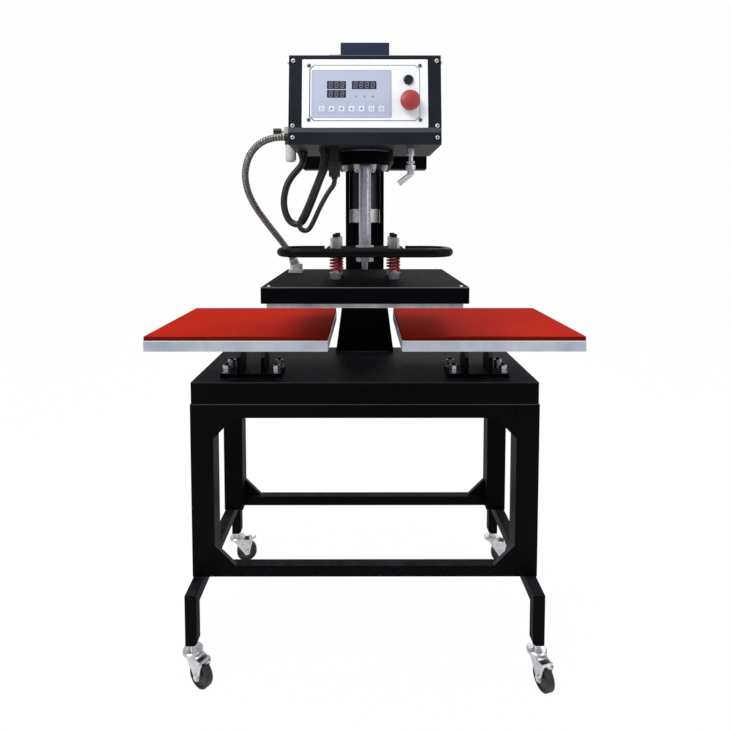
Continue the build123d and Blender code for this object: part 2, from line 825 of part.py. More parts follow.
def start_button():
    low = turning_gap + start_travel
    cap = Pos(0, 0, low) * Cylinder(start_diameter / 2, start_bezel_height + start_stand - low,
                                    align=(Align.CENTER, Align.CENTER, Align.MIN))
    cap = fillet(cap.edges().group_by(Axis.Z)[-1], 1.0)
    cap += Pos(0, 0, low - button_stem_length) * Cylinder(
        button_stem_diameter / 2, button_stem_length,
        align=(Align.CENTER, Align.CENTER, Align.MIN))
    return panel_face * Pos(start_across, start_up, 0) * cap


def stop_button():
    """Red mushroom head on its stem."""
    radius = stop_diameter / 2
    low = stop_base_height + stop_travel + stop_clearance
    rise = stop_cap_height - stop_rim
    dome = (radius ** 2 + rise ** 2) / (2 * rise)
    cap = Pos(0, 0, low) * Cylinder(radius, stop_cap_height,
                                    align=(Align.CENTER, Align.CENTER, Align.MIN))
    cap = cap & Pos(0, 0, low + stop_cap_height - dome) * Sphere(dome)
    cap = chamfer(cap.edges().group_by(Axis.Z)[0], 1.5)
    cap += Pos(0, 0, low - button_stem_length) * Cylinder(
        button_stem_diameter / 2, button_stem_length,
        align=(Align.CENTER, Align.CENTER, Align.MIN))
    return panel_face * Pos(stop_across, stop_up, 0) * cap


def head_trunnion():
    """Hollow journal that the head turns on, guiding the rod through its bore."""
    flange = post(0, head_y, tongue_top + turning_gap, trunnion_top, trunnion_flange_diameter)
    journal = post(0, head_y, retainer_top, tongue_top + turning_gap, trunnion_diameter)
    bore = rod_diameter + 2 * running_clearance
    return flange + journal - post(0, head_y, retainer_top - 1, trunnion_top + 1, bore)


def head_retainer():
    """Ring under the tongue that holds the head up into the arm."""
    ring = post(0, head_y, retainer_bottom, retainer_top, retainer_diameter)
    ring = chamfer(ring.edges().group_by(Axis.Z)[0], 1.0)
    return ring - post(0, head_y, retainer_bottom - 1, retainer_top + 1, rod_diameter + 12)


def cylinder_barrel():
    """Base cap and barrel of the press cylinder, inside the control box."""
    half = cylinder_base_size / 2
    base = block(-half, half, head_y - half, head_y + half, cylinder_floor, barrel_bottom)
    base -= post(0, head_y, cylinder_floor - 1, barrel_bottom + 1, rod_diameter + 3)
    outer = cylinder_bore + 2 * cylinder_wall
    barrel = post(0, head_y, barrel_bottom, box_top, outer)
    barrel -= post(0, head_y, barrel_bottom, box_top + 1, cylinder_bore)
    return base + barrel


def cylinder_cap():
    """Square end cap on top of the control box."""
    half = cylinder_cap_size / 2
    cap = block(-half, half, head_y - half, head_y + half, box_top,
                box_top + cylinder_cap_height)
    cap = chamfer(cap.edges().filter_by(Axis.Z), cylinder_cap_chamfer)
    cap = fillet(cap.edges().group_by(Axis.Z)[-1], cylinder_cap_edge)
    screw_step = half - 13.0
    for x in (-screw_step, screw_step):
        for y in (-screw_step, screw_step):
            top = box_top + cylinder_cap_height
            cap -= post(x, head_y + y, top - 6, top + 1, 13)
            cap += hexagon(x, head_y + y, top - 6, top - 1, 8)
    return cap


inlet_start = -cylinder_cap_size / 2
inlet_height = box_top + cylinder_cap_height * 0.55


def lying(x0, x1, y, z, diameter):
    """A cylinder along X."""
    return Pos((x0 + x1) / 2, y, z) * Rot(0, 90, 0) * Cylinder(diameter / 2, x1 - x0)


def air_inlet():
    """Brass body and push-in collar for the air tube, on the side of the cylinder cap."""
    brass = Pos(inlet_start - 5, head_y, inlet_height) * Rot(0, 90, 0) * extrude(
        RegularPolygon(7, 6, major_radius=False), 5, both=True)
    collar = lying(inlet_start - 26, inlet_start - 10, head_y, inlet_height, 15)
    collar = chamfer(collar.edges().group_by(Axis.X)[0], 1.2)
    body = brass + collar
    return body - lying(inlet_start - 30, inlet_start - 26 + inlet_length, head_y,
                        inlet_height, 2 * inlet_bore_radius)


def conduit_gland():
    """Nut and collar on the left wall of the control box, where the conduit leaves."""
    x, y, z = conduit_route[0]
    nut = Pos(-box_half_width - conduit_nut_length, y, z) * Rot(0, 90, 0) * extrude(
        RegularPolygon(conduit_nut_flats / 2, 6, major_radius=False), conduit_nut_length)
    collar = lying(x, -box_half_width - conduit_nut_length, y, z, conduit_diameter + 4)
    return nut + collar


def hose_glands():
    """Glands under the control box, one at the end of each hose."""
    glands = []
    nut_bottom = box_floor - gland_nut_height
    for (x, y, z), size in ((air_hose_route[0], gland_diameter),
                            (air_hose_route[-1], gland_diameter),
                            (signal_hose_route[0], signal_gland_diameter)):
        gland = post(x, y, z, nut_bottom, size - 1)
        gland = chamfer(gland.edges().group_by(Axis.Z)[0], 1.0)
        gland += hexagon(x, y, nut_bottom, box_floor, size)
        glands.append(gland)
    return glands


def cable_connector():
    """Moulded connector on a short bracket under the control box, where a hose ends."""
    x, y, z = signal_hose_route[-1]
    width = connector_width
    depth = connector_depth
    height = connector_height
    top = box_floor - connector_drop
    body = block(x - width / 2, x + width / 2, y - depth / 2, y + depth / 2, top - height, top)
    body = chamfer(body.edges().filter_by(Axis.Z), 2.0)
    body += block(x - 8, x + 8, y - 3, y + 3, top, box_floor)
    return body + post(x, y, z, top - height, signal_hose_diameter + 3)


def air_filter():
    """Small filter on the left wall: body, ring and bowl, with a round cap on its side."""
    x = -box_half_width - filter_reach / 2
    y = filter_y
    body = block(x - filter_reach / 2, x + filter_reach / 2, y - filter_reach / 2,
                 y + filter_reach / 2, filter_top - filter_body_height, filter_top)
    body = chamfer(body.edges().filter_by(Axis.Z), 3.0)
    ring_bottom = filter_top - filter_body_height - filter_ring_height
    body += post(x, y, ring_bottom, filter_top - filter_body_height, filter_reach - 1)
    bowl = post(x, y, ring_bottom - filter_bowl_height, ring_bottom, filter_reach - 3)
    body += fillet(bowl.edges().group_by(Axis.Z)[0], 7.0)
    cap_end = x - filter_reach / 2 - filter_neck_length
    cap_z = filter_top - filter_cap_diameter / 2 - 1
    body += lying(cap_end, x, y, cap_z, filter_cap_diameter / 2)
    return body + lying(cap_end - filter_cap_length, cap_end, y, cap_z, filter_cap_diameter)


def exhaust_valve():
    """Flow valve under the right of the control box, with its slanted outlet."""
    x = valve_across
    y = valve_y
    levels = [box_floor]
    for step in (valve_collar_height, valve_neck_height, valve_nut_height, valve_nut_height,
                 valve_disc_height, valve_foot_height):
        levels.append(levels[-1] - step)
    valve = post(x, y, levels[1], levels[0], valve_collar_diameter)
    valve += post(x, y, levels[5], levels[1], valve_neck_diameter)
    valve += hexagon(x, y, levels[3], levels[2], valve_hex_flats)
    valve += post(x, y, levels[5], levels[4], valve_disc_diameter)
    valve += hexagon(x, y, levels[6], levels[5], valve_foot_flats)
    slant = radians(valve_outlet_slant)
    outlet = Pos(x - valve_outlet_length / 2 * sin(slant), y, levels[6] + valve_nut_height / 2
                 - valve_outlet_length / 2 * cos(slant)) * Rot(
        0, valve_outlet_slant, 0) * Cylinder(valve_outlet_diameter / 2, valve_outlet_length)
    return valve + outlet


def piston():
    disc = post(0, head_y, piston_bottom, piston_top, cylinder_bore - 2 * running_clearance)
    return disc


def piston_rod():
    """Ground rod with a threaded stud below its shoulder."""
    rod = post(0, head_y, plate_top + rod_washer_height, piston_bottom, rod_diameter)
    stud_bottom = plate_top - rod_stud_length
    stud = post(0, head_y, stud_bottom, plate_top + rod_washer_height, rod_stud_diameter)
    return rod + chamfer(stud.edges().group_by(Axis.Z)[0], 1.0)


def rod_fasteners():
    """Washer over the press plate and the nut under it."""
    hole = rod_stud_diameter
    washer_z = plate_top + rod_washer_height
    washer = post(0, head_y, plate_top, washer_z, rod_washer_diameter)
    washer = chamfer(washer.edges().group_by(Axis.Z)[-1], 1.2)
    washer -= post(0, head_y, plate_top - 1, washer_z + 1, hole)
    nut_z = plate_bottom - rod_nut_height
    nut = hexagon(0, head_y, nut_z, plate_bottom, rod_nut_flats)
    nut -= post(0, head_y, nut_z - 1, plate_bottom + 1, hole)
    return [washer, nut]


def ring_tube():
    """Open tube of the ring handle, its two ends on the sides of the press plate."""
    end = plate_width / 2
    side = ring_half_width
    outline = [(-end, ring_back_y), (-side, ring_back_y), (-side, ring_front_y),
               (side, ring_front_y), (side, ring_back_y), (end, ring_back_y)]
    path = FilletPolyline(*[(x, y, ring_height) for x, y in outline], radius=ring_corner_radius)
    start = Plane(origin=path @ 0, z_dir=path % 0)
    return sweep(start * Circle(ring_tube_diameter / 2), path=path)


def spring_places():
    for x in (-spring_x, spring_x):
        for y in (head_y - spring_y, head_y + spring_y):
            yield x, y


def press_plate():
    """Steel plate that carries the platen on its studs and the ring handle on its front."""
    half = plate_width / 2
    front = ring_back_y - ring_tube_diameter / 2 - ring_seat
    plate = block(-half, half, front, head_y + plate_depth / 2, plate_bottom, plate_top)
    plate = fillet(plate.edges().filter_by(Axis.Z).group_by(Axis.Y)[-1], plate_corner)
    plate -= post(0, head_y, plate_bottom - 1, plate_top + 1, rod_stud_diameter)
    for x, y in spring_places():
        plate -= post(x, y, plate_bottom - 1, plate_top + 1,
                      platen_stud_diameter + 2 * running_clearance)
    return plate


def platen_case():
    """Pressed cover over the heater, open below."""
    half = platen_size / 2
    inner = half - platen_sheet
    lip = heater_size / 2
    case = block(-half, half, head_y - half, head_y + half, case_bottom, platen_top)
    case = fillet(case.edges().filter_by(Axis.Z), platen_corner)
    case = fillet(case.edges().group_by(Axis.Z)[-1], 1.5)
    case -= block(-inner, inner, head_y - inner, head_y + inner,
                  case_bottom + platen_sheet, platen_top - platen_sheet)
    case -= block(-lip, lip, head_y - lip, head_y + lip, case_bottom - 1,
                  case_bottom + platen_sheet + 1)
    for x, y in spring_places():
        case -= post(x, y, platen_top - 2 * platen_sheet, platen_top + 1, platen_stud_diameter)
    return case


def heater_plate():
    """Aluminium heating block, standing proud of its cover."""
    half = heater_size / 2
    heater = block(-half, half, head_y - half, head_y + half, heater_bottom,
                   heater_bottom + heater_thickness)
    return chamfer(heater.edges().group_by(Axis.Z)[0], 1.0)


def platen_studs():
    """Four studs with their lock nuts, washers and double top nuts, each stack one solid."""
    studs = []
    foot = heater_bottom + heater_thickness
    for x, y in spring_places():
        stud = post(x, y, foot, plate_top + platen_stud_above, platen_stud_diameter)
        stud = chamfer(stud.edges().group_by(Axis.Z)[-1], 1.0)
        lower_top = platen_top + lower_nut_height
        stud += chamfered_nut(x, y, platen_top, lower_top, platen_nut_flats)
        stud += post(x, y, lower_top, spring_bottom, washer_diameter)
        stud += post(x, y, plate_top, plate_top + washer_height, washer_diameter - 3)
        first = plate_top + washer_height
        second = first + upper_nut_height + upper_nut_gap
        stud += chamfered_nut(x, y, first, first + upper_nut_height, platen_nut_flats)
        stud += chamfered_nut(x, y, second, second + upper_nut_height, platen_nut_flats)
        studs.append(stud)
    return studs


def biarcs(points, tangents):
    """Two tangent arcs from each point to the next."""
    edges = []
    for (p, q), (t, u) in zip(zip(points, points[1:]), zip(tangents, tangents[1:])):
        v = q - p
        w = t + u
        a = 2 * (1 - t.dot(u))
        b = v.dot(w)
        d = (-b + sqrt(b * b + a * v.dot(v))) / a
        join = (p + q + (t - u) * d) * 0.5
        edges.append(Edge.make_tangent_arc(p, t, join))
        edges.append(Edge.make_tangent_arc(q, u * -1, join))
    return Wire(edges)


def spring_point(turn):
    """Place and direction on the middle line of a spring, at a number of turns."""
    radius = (spring_outer_diameter - spring_wire) / 2
    rise = spring_height - spring_wire - 2 * spring_end_gap
    pitch = rise / spring_turns
    angle = 2 * pi * turn
    place = Vector(radius * cos(angle), radius * sin(angle),
                   spring_bottom + spring_end_gap + spring_wire / 2 + pitch * turn)
    slope = Vector(-radius * sin(angle), radius * cos(angle), pitch / (2 * pi))
    return place, slope.normalized()


spring_end_gap = 0.3


def platen_springs():
    """Four coil springs between the press plate and the platen, each one unbroken wire."""
    steps = [quarter / 4 for quarter in range(4 * spring_turns + 1)]
    places = [spring_point(step) for step in steps]
    wire = biarcs([p for p, t in places], [t for p, t in places])
    start = Plane(origin=wire @ 0, z_dir=wire % 0)
    coil = sweep(start * Circle(spring_wire / 2), path=wire)
    return [Pos(x, y, 0) * coil for x, y in spring_places()]


def platen_conduit_fitting():
    """Clamp fitting on the platen that the conduit enters at a slant."""
    end = Vector(*conduit_route[-1])
    before = Vector(*conduit_route[-2])
    up = (before - end).normalized()
    bottom = platen_top
    nut_bottom = bottom + fitting_base_height
    nut_top = nut_bottom + fitting_nut_height
    reach = (end.Z - (nut_bottom + nut_top) / 2) / up.Z
    seat = end - up * reach
    half_x = fitting_nut_flats / 2 + 4
    half_y = fitting_nut_flats / 2 + 1
    base = block(seat.X - half_x, seat.X + half_x, seat.Y - half_y, seat.Y + half_y,
                 bottom, nut_bottom)
    base = chamfer(base.edges().filter_by(Axis.Z), 3.0)
    nut = hexagon(seat.X, seat.Y, nut_bottom, nut_top, fitting_nut_flats)
    neck = Plane(origin=seat, z_dir=up) * Cylinder(
        conduit_diameter / 2 + 3, reach + fitting_sleeve,
        align=(Align.CENTER, Align.CENTER, Align.MIN))
    socket = Plane(origin=end - up * socket_gap, z_dir=up) * Cylinder(
        conduit_diameter / 2 + socket_gap, 30, align=(Align.CENTER, Align.CENTER, Align.MIN))
    return base + nut + neck - socket


def corner_radii(route):
    """Largest tangent arc at each corner that its two runs allow."""
    points = [Vector(*p) for p in route]
    radii = []
    for a, b, c in zip(points, points[1:], points[2:]):
        turn = radians((b - a).get_angle(c - b))
        shorter = min((b - a).length, (c - b).length)
        radii.append(0.45 * shorter / tan(turn / 2))
    return radii


def cord_tube(name, route, diameter):
    """Tube of straight runs joined by tangent arcs, its volume compared with its length."""
    radii = corner_radii(route)
    path = FilletPolyline(*route, radius=radii)
    start = Plane(origin=path @ 0, z_dir=path % 0)
    tube = sweep(start * Circle(diameter / 2), path=path)
    ideal = pi * diameter ** 2 / 4 * path.length
    print(name, "length", round(path.length, 1), "volume ratio", round(tube.volume / ideal, 4),
          "radii", [round(r) for r in radii], "least in diameters",
          round(min(radii) / diameter, 1))
    return tube


def spring_gap():
    """Least gap between one curl of a spring and the next, measured on points."""
    points = [spring_point(step / 24)[0] for step in range(24 * spring_turns + 1)]
    least = min((a - b).length for i, a in enumerate(points) for b in points[i + 12:])
    return least - spring_wire


def pieces():
    """Every node by name, with its solids."""
    half_depth = base_depth / 2
    made = {
        "front_frame": square_frame(-half_depth, -half_depth + post_size),
        "rear_frame": square_frame(half_depth - post_size, half_depth),
        "left_skid": skid(-1),
        "right_skid": skid(1),
        "base_box": base_box(),
        "left_table_bracket": table_bracket(-1),
        "right_table_bracket": table_bracket(1),
        "bracket_bolts": bracket_bolts(),
        "column": column(),
        "swing_spindle": swing_spindle(),
        "thrust_washer": thrust_washer(),
        "bearing_hub": bearing_hub(),
        "swing_sleeve": swing_sleeve(),
        "swing_arm": swing_arm(),
        "arm_housing": arm_housing(),
        "swing_bolts": hanging_bolts(swing_bolt_circle, swing_bolt_count, 0, pivot_y,
                                     flange_bottom, 13.0, 22.5),
        "control_box": control_box(),
        "front_panel": [front_panel(), *button_bezels()],
        "keypad": keypad(),
        "start_button": start_button(),
        "stop_button": stop_button(),
        "head_trunnion": head_trunnion(),
        "head_retainer": head_retainer(),
        "retainer_bolts": hanging_bolts(retainer_bolt_circle, retainer_bolt_count, 0, head_y,
                                        retainer_bottom, 10.0, 22.5),
        "cylinder_barrel": cylinder_barrel(),
        "cylinder_cap": cylinder_cap(),
        "air_inlet": air_inlet(),
        "box_glands": [conduit_gland(), *hose_glands()],
        "cable_connector": cable_connector(),
        "air_filter": air_filter(),
        "exhaust_valve": exhaust_valve(),
        "piston_rod": [piston(), piston_rod()],
        "rod_fasteners": rod_fasteners(),
        "press_plate": press_plate(),
        "ring_handle": ring_tube(),
        "platen_case": platen_case(),
        "heater_plate": heater_plate(),
        "platen_studs": platen_studs(),
        "platen_springs": platen_springs(),
        "conduit_fitting": platen_conduit_fitting(),
        "platen_conduit": cord_tube("platen_conduit", conduit_route, conduit_diameter),
        "air_hose": cord_tube("air_hose", air_hose_route, hose_diameter),
        "signal_hose": cord_tube("signal_hose", signal_hose_route, signal_hose_diameter),
    }
    for name, side in (("left", -1), ("right", 1)):
        made[name + "_table_plate"] = table_layer(side, table_bottom, pad_bottom, 0)
        made[name + "_table_pad"] = table_pad(side)
    stems = []
    for name, x, y, heading in caster_places():
        place = Pos(x, y, 0) * Rot(0, 0, heading)
        stems.append(place * caster_stem())
        made["caster_fork_" + name] = [place * solid for solid in caster_fork()]
        made["caster_wheel_" + name] = place * caster_wheel()
        made["caster_lever_" + name] = place * caster_lever()
    made["caster_stems"] = stems
    return made


def as_solids(shape):
    """The separate solids of a node, as one compound."""
    parts = shape if isinstance(shape, list) else [shape]
    return Compound(children=[Solid(s.wrapped) for part in parts for s in part.solids()])


nodes = {name: as_solids(shape) for name, shape in pieces().items()}
whole = Compound([solid for node in nodes.values() for solid in node.solids()]).bounding_box()
origin_shift = -(whole.min.Y + whole.max.Y) / 2
os.makedirs("parts", exist_ok=True)
for name, node in nodes.items():
    export_step(Pos(0, origin_shift, 0) * node, "parts/" + name + ".step")
print("least spring gap", round(spring_gap(), 2), "swing limit", round(swing_limit, 2),
      "swing radius", round(swing_radius, 1), "shift", round(origin_shift, 2), "size", whole)
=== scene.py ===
from math import cos, pi, radians, sin

import bmesh
import bpy
from mathutils import Matrix, Vector


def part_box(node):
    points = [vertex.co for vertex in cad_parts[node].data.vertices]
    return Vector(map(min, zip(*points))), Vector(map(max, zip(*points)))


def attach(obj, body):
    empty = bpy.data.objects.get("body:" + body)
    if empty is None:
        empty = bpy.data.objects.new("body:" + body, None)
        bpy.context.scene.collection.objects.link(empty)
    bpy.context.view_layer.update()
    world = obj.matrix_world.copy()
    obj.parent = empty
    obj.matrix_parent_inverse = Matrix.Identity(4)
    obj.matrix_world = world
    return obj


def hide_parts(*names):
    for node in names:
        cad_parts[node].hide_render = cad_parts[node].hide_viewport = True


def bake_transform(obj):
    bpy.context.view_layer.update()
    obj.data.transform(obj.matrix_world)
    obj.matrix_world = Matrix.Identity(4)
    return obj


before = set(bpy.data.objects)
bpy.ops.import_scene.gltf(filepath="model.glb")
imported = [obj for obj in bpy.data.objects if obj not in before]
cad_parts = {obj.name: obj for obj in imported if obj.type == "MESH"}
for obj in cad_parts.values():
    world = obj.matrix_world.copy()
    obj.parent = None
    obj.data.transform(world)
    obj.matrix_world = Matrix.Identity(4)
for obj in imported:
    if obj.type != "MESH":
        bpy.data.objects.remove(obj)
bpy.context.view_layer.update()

# Dual station heat press. Sizes are written in millimetres and turned into metres by at().
# X runs to the right, Y to the back from the middle of the base box, Z up from the floor.
base_low, base_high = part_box("base_box")
base_middle_y = (base_low[1] + base_high[1]) / 2


def at(x, y, z):
    """A point of the press, in metres."""
    return Vector((x / 1000, y / 1000 + base_middle_y, z / 1000))


# Sizes that the pieces below share
head_y = -185.0
pivot_y = 147.5
base_top = 634.0
frame_face = 173.0
post_inner = 332.5
box_fold = 1159.5
box_top = 1303.0
box_half_width = 145.0
box_front_y = -311.0
box_lean = 21.0
panel_drop = 3.5
panel_thickness = 1.5
keypad_thickness = 0.8
platen_top = 866.5
plate_top = 929.5
stud_across = 60.0
stud_along = 45.0


# Colours are written as they look on the screen and turned into linear light
def seen(red, green, blue):
    """A screen colour as linear light."""
    linear = []
    for level in (red / 255, green / 255, blue / 255):
        linear.append(level / 12.92 if level < 0.04045 else ((level + 0.055) / 1.055) ** 2.4)
    return (*linear, 1.0)


def darker(colour, share):
    """A linear colour at a share of its strength."""
    return (*(level * share for level in colour[:3]), 1.0)


class Field:
    """A value that varies over a surface. Arithmetic on it adds its nodes."""

    def __init__(self, finish, socket):
        self.finish = finish
        self.socket = socket

    def __add__(self, other):
        return self.finish.maths("ADD", self, other)

    def __radd__(self, other):
        return self.finish.maths("ADD", other, self)

    def __sub__(self, other):
        return self.finish.maths("SUBTRACT", self, other)

    def __rsub__(self, other):
        return self.finish.maths("SUBTRACT", other, self)

    def __mul__(self, other):
        return self.finish.maths("MULTIPLY", self, other)

    def __gt__(self, other):
        return self.finish.maths("GREATER_THAN", self, other)

    def __lt__(self, other):
        return self.finish.maths("LESS_THAN", self, other)

    def ramp(self, low, high):
        """0 below low, 1 above high, and even in between."""
        return self.finish.node("MapRange", {}, {0: self, 1: low, 2: high, 3: 0.0, 4: 1.0})


class Finish:
    """A surface finish, built from nodes."""

    def __init__(self, name):
        self.material = bpy.data.materials.new(name)
        self.material.use_nodes = True
        self.tree = self.material.node_tree
        self.tree.nodes.clear()

    def node(self, kind, settings, inputs, out=0):
        """Adds a node, sets it up and gives one of its outputs."""
        made = self.tree.nodes.new("ShaderNode" + kind)
        for name, value in settings.items():
            setattr(made, name, value)
        for name, value in inputs.items():
            if isinstance(value, Field):
                self.tree.links.new(value.socket, made.inputs[name])
            else:
                made.inputs[name].default_value = value
        return Field(self, made.outputs[out]) if made.outputs else None

    def maths(self, operation, first, second):
        return self.node("Math", {"operation": operation}, {0: first, 1: second})

    def place(self):
        """Where a point lies on its piece, in metres."""
        return self.node("TexCoord", {}, {}, "Object")

    def part_of(self, vector, axis):
        return self.node("SeparateXYZ", {}, {0: vector}, axis)

    def height(self):
        return self.part_of(self.place(), 2)

    def faces(self, axis):
        """How much a surface faces along an axis: 1 with it, -1 against it."""
        normal = self.node("NewGeometry", {}, {}, "Normal")
        return self.part_of(normal, axis)

    def upward(self):
        return self.faces(2)

    def away_from(self, point):
        """Distance from a point, in metres."""
        return self.node("VectorMath", {"operation": "DISTANCE"},
                         {0: self.place(), 1: point}, "Value")

    def along(self, direction, origin):
        """How far a point lies from origin along a direction, in metres."""
        dot = self.node("VectorMath", {"operation": "DOT_PRODUCT"},
                        {0: self.place(), 1: direction}, "Value")
        return dot - direction.dot(origin)

    def noise(self, scale, detail=3.0, roughness=0.5, stretch=(1.0, 1.0, 1.0)):
        vector = self.node("Mapping", {}, {0: self.place(), 3: stretch})
        return self.node("TexNoise", {}, {"Vector": vector, "Scale": scale, "Detail": detail,
                                          "Roughness": roughness})

    def mix(self, share, first, second):
        return self.node("Mix", {"data_type": "RGBA"}, {0: share, 6: first, 7: second}, 2)

    def relief(self, height, depth, strength=1.0):
        return self.node("Bump", {}, {"Strength": strength, "Distance": depth,
                                      "Height": height})

    def surface(self, colour, rough, **rest):
        """Ends the finish with a shader."""
        inputs = {"Base Color": colour, "Roughness": rough}
        for name, value in rest.items():
            inputs[name.replace("_", " ")] = value
        shader = self.node("BsdfPrincipled", {}, inputs)
        self.node("OutputMaterial", {}, {0: shader})
        return self.material


def paint(name, colour, dusty, rough, shine=0.1, painted_highlight=0.3, peel=0.00006, fold_highlight=None):
    """Powder coat: fine orange peel, dust on what faces up, a painted highlight on rounded upper
    edges, and a painted highlight line across the front between two heights, where the sheet
    folds or meets."""
    f = Finish(name)
    cloud = f.noise(9.0, 4.0, 0.6)
    dust = f.upward().ramp(0.3, 1.0) * f.noise(30.0, 5.0, 0.65).ramp(0.3, 0.75)
    tone = f.mix(cloud.ramp(0.35, 0.7), colour, darker(colour, 0.72))
    tone = f.mix(dust * 0.5, tone, dusty)
    # Painted highlight: rounded upper edges, where the surface leans between up and out, are
    # lightened toward this light grey
    highlight_tone = seen(112, 115, 122)
    edge = (f.upward() > 0.3) * (f.upward() < 0.93)
    tone = f.mix(edge * painted_highlight, tone, highlight_tone)
    # Painted highlight: a light grey line on front faces between two heights, at a sheet bend or
    # seam
    if fold_highlight:
        low, high, strength = fold_highlight
        line = (f.height() > low) * (f.height() < high) * (f.faces(1) < -0.5)
        tone = f.mix(line * strength, tone, highlight_tone)
    grain = f.noise(950.0, 2.0, 0.5)
    rub = f.noise(55.0, 4.0, 0.6)
    return f.surface(tone, rough + rub * 0.16 + dust * 0.1,
                     Normal=f.relief(grain, peel, 0.8), Specular_IOR_Level=shine)


def plated(name, colour, rough, metal=1.0, stretch=(1.0, 1.0, 1.0), scratch=0.00002):
    """Zinc or nickel plate with a cloudy lustre and fine scratches."""
    f = Finish(name)
    cloud = f.noise(120.0, 4.0, 0.6)
    tone = f.mix(cloud.ramp(0.3, 0.75), colour, darker(colour, 0.62))
    scratches = f.noise(420.0, 3.0, 0.7, stretch)
    return f.surface(tone, rough + cloud * 0.18, Metallic=metal,
                     Normal=f.relief(scratches, scratch, 0.6))


def rubber(name, colour, rough):
    """Rubber with a pale bloom in patches."""
    f = Finish(name)
    bloom = f.noise(25.0, 5.0, 0.6).ramp(0.4, 0.8)
    bloomed = (*(min(1.0, level * 1.9 + 0.006) for level in colour[:3]), 1.0)
    tone = f.mix(bloom * 0.35, colour, bloomed)
    grain = f.noise(1400.0, 2.0, 0.6)
    return f.surface(tone, rough + bloom * 0.15, Normal=f.relief(grain, 0.00003, 0.7))


def plastic(name, colour, rough, coat=0.0, grain=0.00002):
    """Moulded plastic, print or film with a fine grain."""
    f = Finish(name)
    cloud = f.noise(40.0, 3.0, 0.5)
    tone = f.mix(cloud.ramp(0.3, 0.8) * 0.25, colour, darker(colour, 0.85))
    fine = f.noise(1200.0, 2.0, 0.5)
    return f.surface(tone, rough + cloud * 0.06, Coat_Weight=coat, Coat_Roughness=0.08,
                     Normal=f.relief(fine, grain, 0.5))


def glowing(name, colour, level):
    """Display segments that glow faintly."""
    f = Finish(name)
    soft = f.noise(300.0, 2.0, 0.5)
    tone = f.mix(soft * 0.3, colour, darker(colour, 0.7))
    return f.surface(tone, 0.35 + soft * 0.05, Emission_Color=tone, Emission_Strength=level)


# Places in metres where a finish changes: heights, edges across, and a radius
# The first two are height bands of painted highlight lines: the seam on the base box front and
# the sheet bend on the control box
base_seam_highlight = (0.5843, 0.5857)
box_fold_highlight = (1.1535, 1.1625)
# Height above which the table plate's edge carries a painted highlight
table_highlight_level = 0.7386
stud_nut_top = 0.9525
bracket_nut_top = 0.6602
filter_bowl_top = 1.1475
filter_ring_top = 1.1595
filter_cap_edge = -0.1775
inlet_collar_edge = -0.0592
wheel_hub_radius = 0.0135

# In each coat the number after the shine sets the painted highlight on rounded upper edges, and
# the height band given last carries a painted highlight line
black_paint = paint("black_powder_coat", seen(6, 6, 8), seen(62, 65, 71), 0.46, 0.04, 0.3,
                    fold_highlight=(*base_seam_highlight, 0.35))
handle_paint = paint("handle_powder_coat", seen(5, 5, 7), seen(20, 21, 24), 0.36, 0.08, 0.0)
head_paint = paint("head_powder_coat", seen(34, 38, 45), seen(72, 78, 88), 0.44, 0.06, 0.5,
                   fold_highlight=(*box_fold_highlight, 0.38))
cap_paint = paint("cylinder_cap_anodised", seen(47, 58, 78), seen(84, 94, 110), 0.36, 0.16, 0.3)
platen_paint = paint("platen_powder_coat", seen(7, 8, 11), seen(24, 26, 32), 0.52, 0.015, 0.95)
sleeve_paint = paint("sleeve_gloss_black", seen(10, 11, 14), seen(30, 33, 37), 0.22, 0.35, 0.0,
                     0.00002)
zinc = plated("bright_zinc", seen(226, 228, 231), 0.26, 0.8)
nickel = plated("bright_nickel", seen(222, 222, 221), 0.22, 0.5)
dull_steel = plated("dull_steel", seen(128, 130, 134), 0.38)
# Dark steel: painted shade for the screws' cross recesses, and the colour of the dark stud
# thread ends
dark_steel_and_recess_shade = plated("dark_steel_recess_shade", seen(52, 52, 56), 0.36)
ground = plated("ground_rod", seen(206, 202, 218), 0.20, 0.7, (1.0, 1.0, 14.0), 0.000008)
hose_rubber = rubber("hose_rubber", seen(15, 15, 17), 0.40)
keypad_blue = plastic("keypad_membrane", seen(184, 191, 212), 0.36, 0.15, 0.00004)
ink = plastic("printed_ink", seen(40, 44, 62), 0.45)
key_white = plastic("key_print_white", seen(220, 226, 238), 0.36)
key_ink = plastic("key_print", seen(160, 169, 196), 0.45)
window_dark = plastic("display_window", seen(36, 34, 44), 0.12, 0.8)
stop_red = plastic("stop_button_red", seen(159, 45, 50), 0.46, 0.1)
glossy_black = plastic("glossy_black", seen(16, 16, 18), 0.18, 0.6)
black_plastic = plastic("moulded_black", seen(20, 20, 22), 0.45)
segments = glowing("display_segments", seen(122, 128, 148), 0.02)
lamp_green = plastic("indicator_lens", seen(110, 130, 120), 0.25, 0.4)


def aluminium_table():
    """Table plate: milled edge with fine horizontal tool marks and a painted highlight line
    along its upper edge.
    """
    f = Finish("milled_aluminium")
    marks = f.noise(60.0, 4.0, 0.6, (0.4, 0.4, 26.0))
    cloud = f.noise(14.0, 4.0, 0.6)
    tone = f.mix(cloud.ramp(0.3, 0.75), seen(216, 220, 229), seen(174, 180, 192))
    # Painted highlight: the band along the plate's upper edge is lightened almost to white
    painted_highlight = f.height() > table_highlight_level
    tone = f.mix(painted_highlight * 0.8, tone, seen(244, 246, 250))
    return f.surface(tone, 0.34 + marks * 0.18, Metallic=0.6,
                     Normal=f.relief(marks, 0.00008, 0.5))


